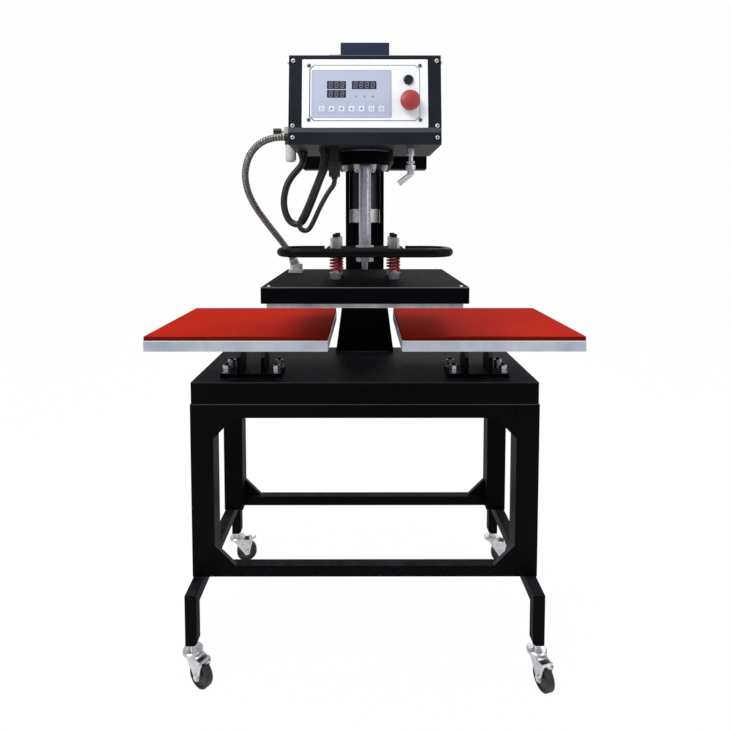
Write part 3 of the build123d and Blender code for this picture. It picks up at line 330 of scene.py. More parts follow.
def silicone_pad():
    """Red silicone sheet over foam: fine weave-like grain, faint press marks, and painted shade
    on the sides.
    """
    f = Finish("red_silicone")
    blotch = f.noise(7.0, 4.0, 0.6)
    tone = f.mix(blotch.ramp(0.3, 0.75), seen(169, 31, 13), seen(155, 26, 10))
    # Painted shade: faces that don't face up are darkened to a deep red
    side = f.upward() < 0.4
    tone = f.mix(side * 0.8, tone, seen(74, 14, 9))
    grain = f.noise(700.0, 3.0, 0.6)
    dents = f.noise(18.0, 3.0, 0.5)
    return f.surface(tone, 0.70 + grain * 0.12, Specular_IOR_Level=0.02,
                     Normal=f.relief(grain * 0.4 + dents * 0.6, 0.00025, 0.5))


def heater_face():
    """Cast aluminium heater with a dull, slightly oxidised face."""
    f = Finish("heater_aluminium")
    cloud = f.noise(22.0, 5.0, 0.62)
    tone = f.mix(cloud.ramp(0.3, 0.75), seen(196, 198, 202), seen(138, 140, 146))
    marks = f.noise(200.0, 3.0, 0.6, (1.0, 12.0, 1.0))
    return f.surface(tone, 0.32 + cloud * 0.2, Metallic=0.9,
                     Normal=f.relief(marks, 0.00004, 0.5))


def tipped(name, level, below, above):
    """Plated fasteners with a darker threaded end above a level, both as colours."""
    f = Finish(name)
    cloud = f.noise(160.0, 4.0, 0.6)
    end = f.height() > level
    tone = f.mix(cloud.ramp(0.3, 0.75), below, darker(below, 0.6))
    tone = f.mix(end, tone, above)
    thread = f.node("TexWave", {"bands_direction": "Z"},
                    {"Vector": f.place(), "Scale": 240.0, "Distortion": 0.0})
    return f.surface(tone, 0.22 + cloud * 0.16 + end * 0.14, Metallic=1.0,
                     Normal=f.relief(thread * end, 0.0004, 0.8))


def wheel_finish(name, centre):
    """Caster wheel: dark tread, grey moulded hub, and scuffs on the running face."""
    f = Finish(name)
    out = f.away_from(centre)
    hub = out < wheel_hub_radius
    scuff = f.noise(90.0, 5.0, 0.65).ramp(0.45, 0.75)
    tone = f.mix(scuff * 0.4, seen(20, 20, 22), seen(58, 58, 60))
    tone = f.mix(hub, tone, seen(44, 45, 48))
    grain = f.noise(900.0, 2.0, 0.6)
    return f.surface(tone, 0.48 + scuff * 0.2 - hub * 0.12,
                     Normal=f.relief(grain, 0.00005, 0.7))


def panel_finish():
    """White printed panel; the rings that stand on it are dark."""
    f = Finish("front_panel_print")
    cloud = f.noise(30.0, 3.0, 0.5)
    tone = f.mix(cloud.ramp(0.3, 0.8) * 0.3, seen(248, 250, 253), seen(240, 243, 249))
    stands = f.along(slope_out, panel_centre) > (panel_thickness + 0.1) / 1000
    tone = f.mix(stands, tone, seen(58, 58, 64))
    return f.surface(tone, 0.28 + cloud * 0.08 + stands * 0.1, Coat_Weight=0.2,
                     Coat_Roughness=0.1)


def filter_finish():
    """Light body above, black ring, clear bowl with a wet sheen below."""
    f = Finish("air_filter_parts")
    height = f.height()
    bowl = height < filter_bowl_top
    ring = (height < filter_ring_top) * (1.0 - bowl)
    cap = f.part_of(f.place(), 0) < filter_cap_edge
    cloud = f.noise(140.0, 4.0, 0.6)
    tone = f.mix(cloud.ramp(0.3, 0.8) * 0.5, seen(206, 205, 200), seen(160, 160, 156))
    tone = f.mix(bowl, tone, f.mix(cloud, seen(232, 230, 232), seen(196, 192, 196)))
    tone = f.mix((ring + cap).ramp(0.0, 1.0), tone, seen(20, 20, 22))
    return f.surface(tone, 0.34 - bowl * 0.24, Coat_Weight=bowl * 0.8, Coat_Roughness=0.05,
                     Normal=f.relief(f.noise(300.0), 0.00005, 0.4))


def fitting_finish():
    """Brass body with a blue push-in collar."""
    f = Finish("push_in_fitting")
    collar = f.part_of(f.place(), 0) < inlet_collar_edge
    cloud = f.noise(200.0, 3.0, 0.6)
    tone = f.mix(cloud.ramp(0.3, 0.8), seen(216, 182, 104), seen(168, 134, 66))
    tone = f.mix(collar, tone, f.mix(cloud, seen(28, 66, 160), seen(44, 88, 184)))
    return f.surface(tone, 0.24 + collar * 0.1, Metallic=1.0 - collar,
                     Normal=f.relief(cloud, 0.00004, 0.4))


def spring_finish():
    """Red lacquer, darker where it is worn thin in scattered patches."""
    f = Finish("spring_lacquer")
    worn = f.noise(160.0, 4.0, 0.65).ramp(0.62, 0.72)
    tone = f.mix(worn * 0.5, seen(208, 22, 24), seen(140, 20, 22))
    return f.surface(tone, 0.30 + worn * 0.15, Coat_Weight=0.3, Coat_Roughness=0.15,
                     Normal=f.relief(f.noise(700.0), 0.00003, 0.5))


# The sloping panel face: across runs to the right, up follows the slope, out leaves it
slope_up = Vector((0, box_lean, box_top - box_fold)).normalized()
slope_out = Vector((0, -(box_top - box_fold), box_lean)).normalized()
panel_centre = ((at(0, box_front_y, box_fold) + at(0, box_front_y + box_lean, box_top)) / 2
                - slope_up * (panel_drop / 1000))


def on_slope(across, up, out=0.0):
    """A point on or over the sloping face, from its middle."""
    return (panel_centre + Vector((across / 1000, 0, 0)) + slope_up * (up / 1000)
            + slope_out * (out / 1000))


def slope_frame(across, up, out=0.0):
    """A frame on the sloping face with Z out of it."""
    axes = Matrix((Vector((1, 0, 0)), slope_up, slope_out)).transposed().to_4x4()
    return Matrix.Translation(on_slope(across, up, out)) @ axes


def piece(name, points, faces, finish, body, record_slot, smooth=False, edge=0.0):
    """A mesh that belongs to the press and rides on one of its bodies."""
    mesh = bpy.data.meshes.new(name)
    mesh.from_pydata([tuple(p) for p in points], [], faces)
    mesh.validate()
    tidy = bmesh.new()
    tidy.from_mesh(mesh)
    bmesh.ops.recalc_face_normals(tidy, faces=tidy.faces)
    tidy.to_mesh(mesh)
    tidy.free()
    for face in mesh.polygons:
        face.use_smooth = smooth
    made = bpy.data.objects.new(name, mesh)
    bpy.context.scene.collection.objects.link(made)
    made.data.materials.append(finish)
    if edge:
        bevel = made.modifiers.new("edges", "BEVEL")
        bevel.width = edge / 1000
        bevel.segments = 2
        bevel.limit_method = "ANGLE"
    if smooth:
        made.data.set_sharp_from_angle(angle=radians(35))
    if body:
        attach(made, body)
    return made


def joined(shapes):
    """Several (points, faces) as one."""
    points, faces = [], []
    for some_points, some_faces in shapes:
        first = len(points)
        points += some_points
        faces += [[first + i for i in face] for face in some_faces]
    return points, faces


def prism(outline, depth, place):
    """An outline in a frame's XY plane, in millimetres, drawn out along its Z."""
    count = len(outline)
    points = [place @ Vector((x / 1000, y / 1000, z / 1000))
              for z in (0.0, depth) for x, y in outline]
    faces = [list(range(count))[::-1], [count + i for i in range(count)]]
    for i in range(count):
        j = (i + 1) % count
        faces.append([i, j, count + j, count + i])
    return points, faces


def oblong(x0, x1, y0, y1, corner=0.0, steps=4):
    """A rectangle's outline with round corners."""
    if not corner:
        return [(x0, y0), (x1, y0), (x1, y1), (x0, y1)]
    outline = []
    for cx, cy, start in ((x1 - corner, y0 + corner, -90), (x1 - corner, y1 - corner, 0),
                          (x0 + corner, y1 - corner, 90), (x0 + corner, y0 + corner, 180)):
        for step in range(steps + 1):
            angle = radians(start + 90 * step / steps)
            outline.append((cx + corner * cos(angle), cy + corner * sin(angle)))
    return outline


def hoop(outer, inner, depth, place):
    """The band between two outlines with as many points each."""
    count = len(outer)
    points = [place @ Vector((x / 1000, y / 1000, z / 1000))
              for z in (0.0, depth) for line in (outer, inner) for x, y in line]
    faces = []
    for i in range(count):
        j = (i + 1) % count
        low_out, low_in, high_out, high_in = 0, count, 2 * count, 3 * count
        faces.append([low_out + i, low_in + i, low_in + j, low_out + j])
        faces.append([high_out + i, high_out + j, high_in + j, high_in + i])
        faces.append([low_out + i, low_out + j, high_out + j, high_out + i])
        faces.append([low_in + i, high_in + i, high_in + j, low_in + j])
    return points, faces


def turned(profile, place, sides=24):
    """A profile of (radius, height) turned about a frame's Z."""
    points, faces = [], []
    for radius, height in profile:
        for side in range(sides):
            angle = 2 * pi * side / sides
            points.append(place @ Vector((radius / 1000 * cos(angle),
                                          radius / 1000 * sin(angle), height / 1000)))
    for ring in range(len(profile) - 1):
        for side in range(sides):
            other = (side + 1) % sides
            a = ring * sides
            b = a + sides
            faces.append([a + side, a + other, b + other, b + side])
    faces.append(list(range(sides))[::-1])
    faces.append([(len(profile) - 1) * sides + side for side in range(sides)])
    return points, faces


def upright(x, y, z):
    """A frame with Z up."""
    return Matrix.Translation(at(x, y, z))


def facing(x, y, z, direction):
    """A frame with Z along a direction."""
    spin = Vector(direction).to_track_quat("Z", "Y").to_matrix().to_4x4()
    return Matrix.Translation(at(x, y, z)) @ spin


def pan_screw(place, size=8.0):
    """Domed head, and a flat dark cross on it that paints the shade of its cross recess."""
    radius = size / 2
    profile = [(radius, 0.0), (radius, size * 0.12), (radius * 0.92, size * 0.24),
               (radius * 0.72, size * 0.32), (radius * 0.40, size * 0.35),
               (0.01, size * 0.36)]
    head = turned(profile, place, 20)
    arm, thin = radius * 0.56, radius * 0.15
    lift = Matrix.Translation((0, 0, size * 0.335 / 1000))
    cross = [(arm, thin), (thin, thin), (thin, arm), (-thin, arm), (-thin, thin), (-arm, thin),
             (-arm, -thin), (-thin, -thin), (-thin, -arm), (thin, -arm), (thin, -thin),
             (arm, -thin)]
    return head, prism(cross, size * 0.035, place @ lift)


def screws(name, places, size, body, finish=None):
    """A set of cross-head screws as two pieces: heads, and dark crosses painted as the shade in
    each cross recess.
    """
    heads, recess_shades = zip(*[pan_screw(place, size) for place in places])
    piece(name, *joined(heads), finish or zinc, body, "bright_zinc", True)
    # Painted shade: the crosses are dark steel laid on the heads, not cut into them
    piece(name + "_recess_shade", *joined(recess_shades), dark_steel_and_recess_shade, body, "bright_zinc")


def bead(name, path, radius, body, finish, ripple=0.25):
    """A weld bead: a low rippled ridge along a straight line."""
    shapes = []
    for start, end in path:
        start, end = at(*start), at(*end)
        length = (end - start).length
        count = max(4, int(length / 0.0022))
        spin = (end - start).to_track_quat("Z", "Y").to_matrix()
        points, faces = [], []
        sides = 8
        for ring in range(count + 1):
            share = ring / count
            swell = 1.0 + ripple * (1 if ring % 2 else -1) * 0.5
            taper = min(1.0, 6 * share, 6 * (1 - share)) * 0.5 + 0.5
            for side in range(sides):
                angle = 2 * pi * side / sides
                r = radius / 1000 * swell * taper
                points.append(start.lerp(end, share)
                              + spin @ Vector((r * cos(angle), r * sin(angle), 0)))
        for ring in range(count):
            for side in range(sides):
                other = (side + 1) % sides
                a, b = ring * sides, ring * sides + sides
                faces.append([a + side, a + other, b + other, b + side])
        faces.append(list(range(sides))[::-1])
        faces.append([count * sides + side for side in range(sides)])
        shapes.append((points, faces))
    return piece(name, *joined(shapes), finish, body, "black_paint", True)


def route_curve(name, route, thickness, finish):
    """A hose or conduit's own line, as one smooth curve."""
    curve = bpy.data.curves.new(name, "CURVE")
    curve.dimensions = "3D"
    line = curve.splines.new("NURBS")
    line.points.add(len(route) - 1)
    for point, place in zip(line.points, route):
        point.co = (*at(*place), 1.0)
    line.order_u = 3
    line.use_endpoint_u = True
    line.resolution_u = 10
    curve.bevel_depth = thickness / 2000
    curve.bevel_resolution = 5
    curve.use_fill_caps = True
    made = bpy.data.objects.new(name, curve)
    bpy.context.scene.collection.objects.link(made)
    if finish:
        curve.materials.append(finish)
    return made


def line_of(route):
    """Points along a route's smooth curve, in metres."""
    guide = route_curve("route_guide", route, 0.0, None)
    guide.data.use_fill_caps = False
    bpy.context.view_layer.update()
    mesh = bpy.data.meshes.new_from_object(guide)
    points = [v.co.copy() for v in mesh.vertices]
    bpy.data.meshes.remove(mesh)
    bpy.data.objects.remove(guide)
    return points


def lengths(points):
    """Distance run at each point of a line."""
    run = [0.0]
    for a, b in zip(points, points[1:]):
        run.append(run[-1] + (b - a).length)
    return run


def ribbed_tube(line, pitch, profile, sides=20):
    """A tube along a line whose radius follows a profile of (share of a pitch, radius)."""
    run = lengths(line)
    total = run[-1]
    count = max(1, round(total * 1000 / pitch))
    stations = []
    for rib in range(count):
        for share, radius in profile:
            stations.append(((rib + share) * total / count, radius / 1000))
    stations.append((total, profile[0][1] / 1000))
    points, faces = [], []
    normal = None
    index = 0
    for distance, radius in stations:
        while index < len(run) - 2 and run[index + 1] < distance:
            index += 1
        a, b = line[index], line[index + 1]
        share = (distance - run[index]) / max(1e-9, run[index + 1] - run[index])
        centre = a.lerp(b, min(1.0, share))
        before = line[max(0, index - 1)]
        after = line[min(len(line) - 1, index + 2)]
        way = ((b - a).normalized() * 2 + (a - before) + (after - b)).normalized()
        if normal is None:
            normal = way.orthogonal().normalized()
        normal = (normal - way * normal.dot(way)).normalized()
        side_way = way.cross(normal)
        for side in range(sides):
            angle = 2 * pi * side / sides
            points.append(centre + (normal * cos(angle) + side_way * sin(angle)) * radius)
    for ring in range(len(stations) - 1):
        for side in range(sides):
            other = (side + 1) % sides
            a, b = ring * sides, ring * sides + sides
            faces.append([a + side, a + other, b + other, b + side])
    faces.append(list(range(sides))[::-1])
    faces.append([(len(stations) - 1) * sides + side for side in range(sides)])
    return points, faces


# The camera, matched to the photograph. Pixels are those of a frame 730 wide
frame_pixels = 730
focal_pixels = 579.9
middle_row = 251.55
pitch_down = 3.313
turn_right = 0.08
camera_data = bpy.data.cameras.new("camera")
camera = bpy.data.objects.new("camera", camera_data)
bpy.context.scene.collection.objects.link(camera)
bpy.context.scene.camera = camera
camera_data.sensor_width = 36.0
camera_data.lens = focal_pixels / frame_pixels * camera_data.sensor_width
camera_data.shift_y = -(frame_pixels / 2 - middle_row) / frame_pixels
camera_data.clip_end = 50.0
camera.location = at(-1.5, -1418.2, 991.9)
camera.rotation_euler = (radians(90 - pitch_down), 0, radians(-turn_right))

# The three lines that hang or bend, with the same points as the part
conduit_route = [
    (-160.0, -240.0, 1154.0), (-179.0, -240.0, 1154.0), (-199.0, -238.5, 1149.2),
    (-218.0, -234.0, 1138.9), (-233.5, -226.0, 1123.4), (-244.5, -214.5, 1103.3),
    (-250.5, -200.0, 1080.3), (-250.5, -184.0, 1055.8), (-244.0, -168.0, 1030.7),
    (-231.5, -151.0, 1005.1), (-214.0, -134.0, 977.4), (-195.5, -117.0, 950.2),
    (-178.5, -101.5, 924.8), (-167.5, -91.0, 903.2), (-162.5, -85.8, 890.5),
]
air_hose_route = [
    (-131.0, -186.0, 1117.5), (-131.0, -186.0, 1110.0), (-133.8, -186.5, 1103.0),
    (-141.0, -187.0, 1094.0), (-152.0, -188.0, 1082.0), (-162.0, -190.0, 1066.5),
    (-168.0, -192.0, 1048.5), (-171.0, -194.0, 1027.5), (-168.5, -196.0, 1006.5),
    (-161.0, -198.0, 988.5), (-151.0, -200.0, 980.0), (-139.5, -202.0, 978.0),
    (-129.5, -204.5, 984.5), (-122.5, -207.0, 997.0), (-113.0, -210.0, 1018.5),
    (-103.0, -213.5, 1042.5), (-92.5, -217.0, 1069.5), (-83.0, -220.0, 1091.0),
    (-76.0, -221.0, 1104.5), (-76.0, -221.0, 1117.5),
]
signal_hose_route = [
    (-84.0, -245.0, 1117.5), (-84.0, -245.0, 1106.5), (-87.5, -245.0, 1088.5),
    (-94.0, -245.0, 1070.5), (-104.0, -246.0, 1046.5), (-113.0, -246.0, 1023.0),
    (-123.5, -247.0, 999.5), (-132.0, -247.0, 983.5), (-132.3, -247.0, 974.5),
    (-128.2, -248.0, 968.4), (-121.2, -248.0, 965.8), (-114.1, -248.5, 967.9),
    (-108.9, -249.0, 974.6), (-102.3, -249.0, 987.0), (-91.0, -249.0, 1012.5),
    (-80.0, -249.0, 1032.5), (-70.5, -248.0, 1048.0), (-61.0, -247.0, 1059.5),
    (-61.0, -247.0, 1070.0),
]


def conduit_finish():
    """Interlocked steel strip: bright crests, dark grooves."""
    f = Finish("conduit_strip")
    cloud = f.noise(180.0, 4.0, 0.6)
    tone = f.mix(cloud.ramp(0.3, 0.75), seen(150, 148, 142), seen(84, 82, 78))
    return f.surface(tone, 0.28 + cloud * 0.2, Metallic=0.9,
                     Normal=f.relief(f.noise(900.0), 0.00003, 0.5))


conduit_line = line_of(conduit_route)
rib_pitch = 5.6
rib = [(0.0, 6.1), (0.12, 6.9), (0.35, 7.3), (0.62, 7.3), (0.84, 6.9), (0.94, 6.1)]
conduit = piece("ribbed_conduit", *ribbed_tube(conduit_line, rib_pitch, rib), conduit_finish(),
                None, "conduit_steel", True)
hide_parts("platen_conduit")
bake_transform(conduit)

for name, route, size, node in (("air_hose_line", air_hose_route, 14.0, "air_hose"),
                                ("signal_hose_line", signal_hose_route, 10.0, "signal_hose")):
    hose = route_curve(name, route, size, hose_rubber)
    run = line_of(route)
    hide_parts(node)
    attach(hose, "head")

# The four coil springs
wire_radius = 2.3
coil_turns = 5
steps_per_turn = 24
spring_low, spring_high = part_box("platen_springs")
coil_radius = (spring_high[0] - spring_low[0]) * 500 - stud_across - wire_radius
coil_low = spring_low[2] * 1000 + wire_radius
coil_rise = (spring_high[2] - spring_low[2]) * 1000 - 2 * wire_radius
coils = []
for x in (-stud_across, stud_across):
    for y in (head_y - stud_along, head_y + stud_along):
        wire = []
        for step in range(coil_turns * steps_per_turn + 1):
            angle = 2 * pi * step / steps_per_turn
            share = step / (coil_turns * steps_per_turn)
            wire.append(at(x + coil_radius * cos(angle), y + coil_radius * sin(angle),
                           coil_low + coil_rise * share))
        coils.append(ribbed_tube(wire, 2.4, [(0.0, wire_radius)], 12))
springs = piece("coil_springs", *joined(coils), spring_finish(), None, "spring_red", True)
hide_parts("platen_springs")
head_middle = at(0, head_y, 0).y
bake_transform(springs)

# Finishes of the pieces that come from the part
finishes = {
    black_paint: ["front_frame", "rear_frame", "left_skid", "right_skid", "base_box",
                  "left_table_bracket", "right_table_bracket", "column", "swing_arm",
                  "arm_housing", "head_retainer"],
    sleeve_paint: ["swing_sleeve"],
    head_paint: ["control_box"],
    cap_paint: ["cylinder_cap"],
    platen_paint: ["platen_case", "press_plate"],
    handle_paint: ["ring_handle"],
    nickel: ["swing_spindle", "thrust_washer", "bearing_hub", "conduit_fitting"],
    zinc: ["swing_bolts", "retainer_bolts", "rod_fasteners", "caster_stems", "exhaust_valve"],
    ground: ["piston_rod", "head_trunnion"],
    dull_steel: ["cylinder_barrel"],
    black_plastic: ["cable_connector", "box_glands"],
    stop_red: ["stop_button"],
    glossy_black: ["start_button"],
    keypad_blue: ["keypad"],
    aluminium_table(): ["left_table_plate", "right_table_plate"],
    silicone_pad(): ["left_table_pad", "right_table_pad"],
    heater_face(): ["heater_plate"],
    tipped("platen_stud_steel", stud_nut_top, seen(214, 216, 218), seen(40, 40, 44)):
        ["platen_studs"],
    tipped("bracket_bolt_steel", bracket_nut_top, seen(210, 212, 214), seen(44, 44, 48)):
        ["bracket_bolts"],
    panel_finish(): ["front_panel"],
    filter_finish(): ["air_filter"],
    fitting_finish(): ["air_inlet"],
}
casters = ("front_left", "front_right", "rear_left", "rear_right")
for corner in casters:
    finishes[zinc] += ["caster_fork_" + corner, "caster_lever_" + corner]
    low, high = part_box("caster_wheel_" + corner)
    middle = (Vector(low) + Vector(high)) / 2
    finishes[wheel_finish("wheel_" + corner, middle)] = ["caster_wheel_" + corner]
for finish, names in finishes.items():
    for name in names:
        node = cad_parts[name]
        if not node.material_slots:
            node.data.materials.append(finish)
        for slot in node.material_slots:
            slot.link = "OBJECT"
            slot.material = finish

# Soft edges on the sheet and bar work
for name, width in (("front_frame", 1.2), ("rear_frame", 1.2), ("left_skid", 1.5),
                    ("right_skid", 1.5), ("column", 1.0), ("control_box", 0.8),
                    ("press_plate", 0.8), ("left_table_plate", 0.6), ("right_table_plate", 0.6),
                    ("swing_arm", 1.0), ("arm_housing", 1.0), ("left_table_bracket", 0.8),
                    ("right_table_bracket", 0.8)):
    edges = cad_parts[name].modifiers.new("edges", "BEVEL")
    edges.width = width / 1000
    edges.segments = 2
    edges.limit_method = "ANGLE"
    edges.angle_limit = radians(40)
    edges.use_clamp_overlap = True
    edges.harden_normals = False

# Print, screws and displays on the panel
surface = panel_thickness
film = panel_thickness + keypad_thickness


def chamfered(x0, x1, y0, y1, cut):
    """A rectangle's outline with its corners cut off."""
    return [(x0 + cut, y0), (x1 - cut, y0), (x1, y0 + cut), (x1, y1 - cut), (x1 - cut, y1),
            (x0 + cut, y1), (x0, y1 - cut), (x0, y0 + cut)]


border = hoop(chamfered(-105.8, 104.4, -54.0, 55.6, 9.0),
              chamfered(-103.9, 103.5, -52.6, 54.5, 8.4), 0.12, slope_frame(0, 0, surface))
piece("panel_border", *border, ink, "head", "panel_white")

keypad_edge = hoop(oblong(-98.6, 48.8, -47.0, 45.0, 4), oblong(-97.9, 48.1, -46.3, 44.3, 4),
                   0.1, slope_frame(0, 0, film))
key_boxes = []
for x0, x1 in ((-90.5, -72.0), (-70.0, -35.0), (-33.5, 1.5), (3.0, 21.0), (22.0, 40.0)):
    key_boxes.append(hoop(oblong(x0, x1, -40.5, -16.5, 2.5),
                          oblong(x0 + 0.6, x1 - 0.6, -39.9, -17.1, 2.2), 0.1,
                          slope_frame(0, 0, film)))
piece("keypad_lines", *joined([keypad_edge, *key_boxes]), key_ink, "head", "keypad_grey")
windows = [(-72.0, -36.0, 8.0, 23.6), (-72.0, -36.0, -8.8, 6.0), (-25.0, 21.8, 8.0, 23.6)]
piece("display_windows", *joined([prism(oblong(x0, x1, y0, y1, 1), 0.25, slope_frame(0, 0, film))
                                  for x0, x1, y0, y1 in windows]),
      window_dark, "head", "button_black")


def digit(across, up, tall, lit="abcdefg"):
    """The bars of one display digit."""
    wide = tall * 0.56
    thick = tall * 0.13
    lean = 0.08
    bars = {"a": (0, tall / 2, 1), "g": (0, 0, 1), "d": (0, -tall / 2, 1),
            "f": (-wide / 2, tall / 4, 0), "b": (wide / 2, tall / 4, 0),
            "e": (-wide / 2, -tall / 4, 0), "c": (wide / 2, -tall / 4, 0)}
    shapes = []
    for name in lit:
        x, y, flat = bars[name]
        length = (wide if flat else tall / 2) * 0.5 - thick * 0.35
        half = thick / 2
        line = [(-length, 0), (-length + half, half), (length - half, half), (length, 0),
                (length - half, -half), (-length + half, -half)]
        if not flat:
            line = [(-b, a) for a, b in line]
        outline = [(across + x + a + (y + b) * lean, up + y + b) for a, b in line]
        shapes.append(prism(outline, 0.08, slope_frame(0, 0, film + 0.25)))
    return shapes


shapes = []
window_margin = 1.5
for (x0, x1, y0, y1), count in zip(windows, (3, 3, 4)):
    step = (x1 - x0 - 2 * window_margin) / count
    for place in range(count):
        shapes += digit(x0 + window_margin + step * (place + 0.5), (y0 + y1) / 2,
                        (y1 - y0) * 0.66)
piece("display_digits", *joined(shapes), segments, "head", "button_black")

lamps = [turned([(1.7, 0), (1.7, 0.5), (1.2, 0.9), (0.01, 1.0)],
                slope_frame(x, -6.2, film), 16) for x in (-17.9, -1.0, 14.9)]
piece("panel_lamps", *joined(lamps), lamp_green, "head", "button_black", True)

# Seven keys: four with arrows, up and down in turn, and three with a square
squares, marks = [], []
key_step = 18.9
first_key = -82.3
key_middle = -30.4
square_top = film + 0.62
mark_top = film + 0.70
for index in range(7):
    x = first_key + key_step * index
    key = oblong(x - 5.4, x + 5.4, key_middle - 5.6, key_middle + 5.5, 1.2)
    squares.append(prism(key, 0.08, slope_frame(0, 0, square_top)))
    if 1 <= index <= 4:
        tip = 2.4 if index % 2 else -2.4
        level = key_middle - tip * 0.7
        marks.append(prism([(x - 2.6, level), (x + 2.6, level), (x, key_middle + tip)], 0.06,
                           slope_frame(0, 0, mark_top)))
    else:
        outer = oblong(x - 2.2, x + 2.2, key_middle - 2.2, key_middle + 2.2, 0.6)
        inner = oblong(x - 1.6, x + 1.6, key_middle - 1.6, key_middle + 1.6, 0.4)
        marks.append(hoop(outer, inner, 0.06, slope_frame(0, 0, mark_top)))
piece("key_squares", *joined(squares), key_white, "head", "keypad_grey")
piece("key_marks", *joined(marks), ink, "head", "keypad_grey")

screws("panel_screws", [slope_frame(x, y, surface) for x, y in
                        ((-106.5, 54.1), (104.6, 54.1), (-106.5, -51.6), (104.6, -51.6))],
       7.5, "head", dull_steel)
box_screw_across = (-137.0, 137.0)
box_screws = [slope_frame(x, y, 0.0) for x in box_screw_across for y in (63.9, -62.6)]
box_screws += [facing(x, box_front_y, 1143.7, (0, -1, 0)) for x in box_screw_across]
screws("box_screws", box_screws, 8.2, "head")
side_screws = []
for side in (-1, 1):
    for y in (-292.0, -120.0):
        for z in (1142.0, 1288.0):
            side_screws.append(facing(side * box_half_width, y, z, (side, 0, 0)))
screws("box_side_screws", side_screws, 7.0, "head")
screws("platen_screws", [upright(side * 176.0, head_y + along, platen_top)
                         for side in (-1, 1) for along in (-178.0, 178.0)], 7.0, "platen")

# Dark wear strips on the cheeks' inner faces, down to the bearing collar
cheek_inside = 43.0
strip_half = 9
collar_bottom, collar_top, sleeve_top = 979.0, 1015.8, 1123.8
strips = []
for side in (-1, 1):
    for inside, low, high in ((41.3, collar_top, sleeve_top), (40.1, collar_bottom, collar_top)):
        outline = [(side * x, pivot_y + y) for x, y in
                   ((inside, -strip_half), (cheek_inside, -strip_half),
                    (cheek_inside, strip_half), (inside, strip_half))]
        strips.append(prism(outline, high - low, upright(0, 0, low)))
piece("cheek_wear_strips", *joined(strips), black_plastic, "stand", "black_plastic")

# Weld beads on the foot of the column and on the frames
foot_half, foot_front, foot_back = 77, 115, 173
left_front = (-foot_half, foot_front, base_top)
right_front = (foot_half, foot_front, base_top)
left_back = (-foot_half, foot_back, base_top)
right_back = (foot_half, foot_back, base_top)
foot = [(left_front, right_front), (left_front, left_back), (right_front, right_back),
        (left_back, right_back)]
bead("foot_weld", foot, 2.6, "stand", black_paint)
post_welds = []
for side in (-1, 1):
    corner = side * post_inner
    for face in (-frame_face, frame_face):
        for low, high in ((197, 220), (556, 584)):
            post_welds.append(((corner, face, low), (corner, face, high)))
bead("frame_welds", post_welds, 1.5, "stand", black_paint)

# Threads on the ends of the platen studs
thread_pitch = 1.35
thread_start = plate_top + 22.6
profile = [(5.2, 0.0)]
for turn in range(5):
    profile += [(6.35, 0.4 + turn * thread_pitch), (5.6, 1.05 + turn * thread_pitch)]
profile += [(5.0, 7.0), (0.01, 7.4)]
threads = []
for x in (-stud_across, stud_across):
    for y in (head_y - stud_along, head_y + stud_along):
        threads.append(turned(profile, upright(x, y, thread_start), 20))
piece("stud_threads", *joined(threads), dark_steel_and_recess_shade, "platen", "bright_zinc", True)

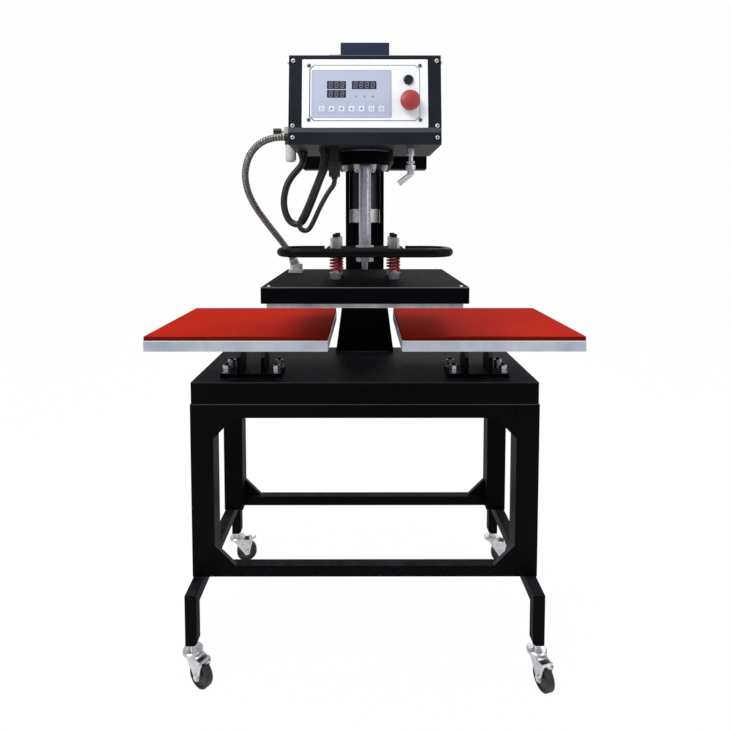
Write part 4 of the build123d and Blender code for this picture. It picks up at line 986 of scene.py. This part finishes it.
# Floor and backdrop: flat, then an arc, then straight up
floor_half_width = 12.0
floor_front, floor_back = -4.0, 2.0
arc_radius = 2.5
wall_top = 9.0
half_rows = 12
stage_points = []
for row in range(half_rows):
    stage_points.append((floor_front + (floor_back - floor_front) * row / half_rows, 0.0))
for row in range(half_rows + 1):
    angle = pi / 2 * row / half_rows
    stage_points.append((floor_back + arc_radius * sin(angle),
                         arc_radius - arc_radius * cos(angle)))
stage_points.append((floor_back + arc_radius, wall_top))
points, faces = [], []
for y, z in stage_points:
    points += [(-floor_half_width, y, z), (floor_half_width, y, z)]
for row in range(len(stage_points) - 1):
    faces.append([2 * row, 2 * row + 1, 2 * row + 3, 2 * row + 2])
mesh = bpy.data.meshes.new("studio_sweep")
mesh.from_pydata(points, [], faces)
for face in mesh.polygons:
    face.use_smooth = True
sweep_piece = bpy.data.objects.new("studio_sweep", mesh)
bpy.context.scene.collection.objects.link(sweep_piece)
stage_finish = Finish("studio_white")
cloud = stage_finish.noise(2.0, 3.0, 0.5)
pale_tone = stage_finish.mix(cloud * 0.2, seen(244, 244, 245), seen(236, 236, 238))
diffuse = stage_finish.node("BsdfDiffuse", {}, {0: pale_tone})
white = stage_finish.node("Emission", {}, {0: (1, 1, 1, 1), 1: 1.0})
camera_ray = stage_finish.node("LightPath", {}, {}, "Is Camera Ray")
glossy_ray = stage_finish.node("LightPath", {}, {}, "Is Glossy Ray")
through_ray = stage_finish.node("LightPath", {}, {}, "Is Transmission Ray")
shows = (camera_ray * 0.985 + glossy_ray * 0.45 + through_ray * 0.97).ramp(0.0, 1.0)
blend = stage_finish.node("MixShader", {}, {0: shows, 1: diffuse, 2: white})
stage_finish.node("OutputMaterial", {}, {0: blend})
sweep_piece.data.materials.append(stage_finish.material)

# Studio light: an even surround, a broad soft lamp over the front left, a weaker one right
world = bpy.data.worlds.new("studio")
bpy.context.scene.world = world
world.use_nodes = True
background = world.node_tree.nodes["Background"]
background.inputs[0].default_value = (0.94, 0.96, 1.0, 1.0)
background.inputs[1].default_value = 0.36


def lamp(name, place, size, power, aim_height=0.8):
    """A rectangular soft lamp aimed at the middle of the press."""
    data = bpy.data.lights.new(name, "AREA")
    data.shape = "RECTANGLE"
    data.size, data.size_y = size
    data.energy = power
    made = bpy.data.objects.new(name, data)
    bpy.context.scene.collection.objects.link(made)
    made.location = place
    aim = Vector((0, 0, aim_height)) - Vector(place)
    made.rotation_euler = aim.to_track_quat("-Z", "Y").to_euler()
    return made


lamp("key", (-1.7, -2.1, 3.2), (1.6, 1.6), 74)
lamp("fill", (2.8, -1.7, 2.1), (1.4, 2.0), 30)
lamp("top", (0.0, 0.2, 3.2), (2.2, 1.6), 42)
lamp("back", (0.6, 2.4, 2.4), (1.8, 1.2), 18, 0.9)

bpy.context.scene.view_settings.view_transform = "Standard"
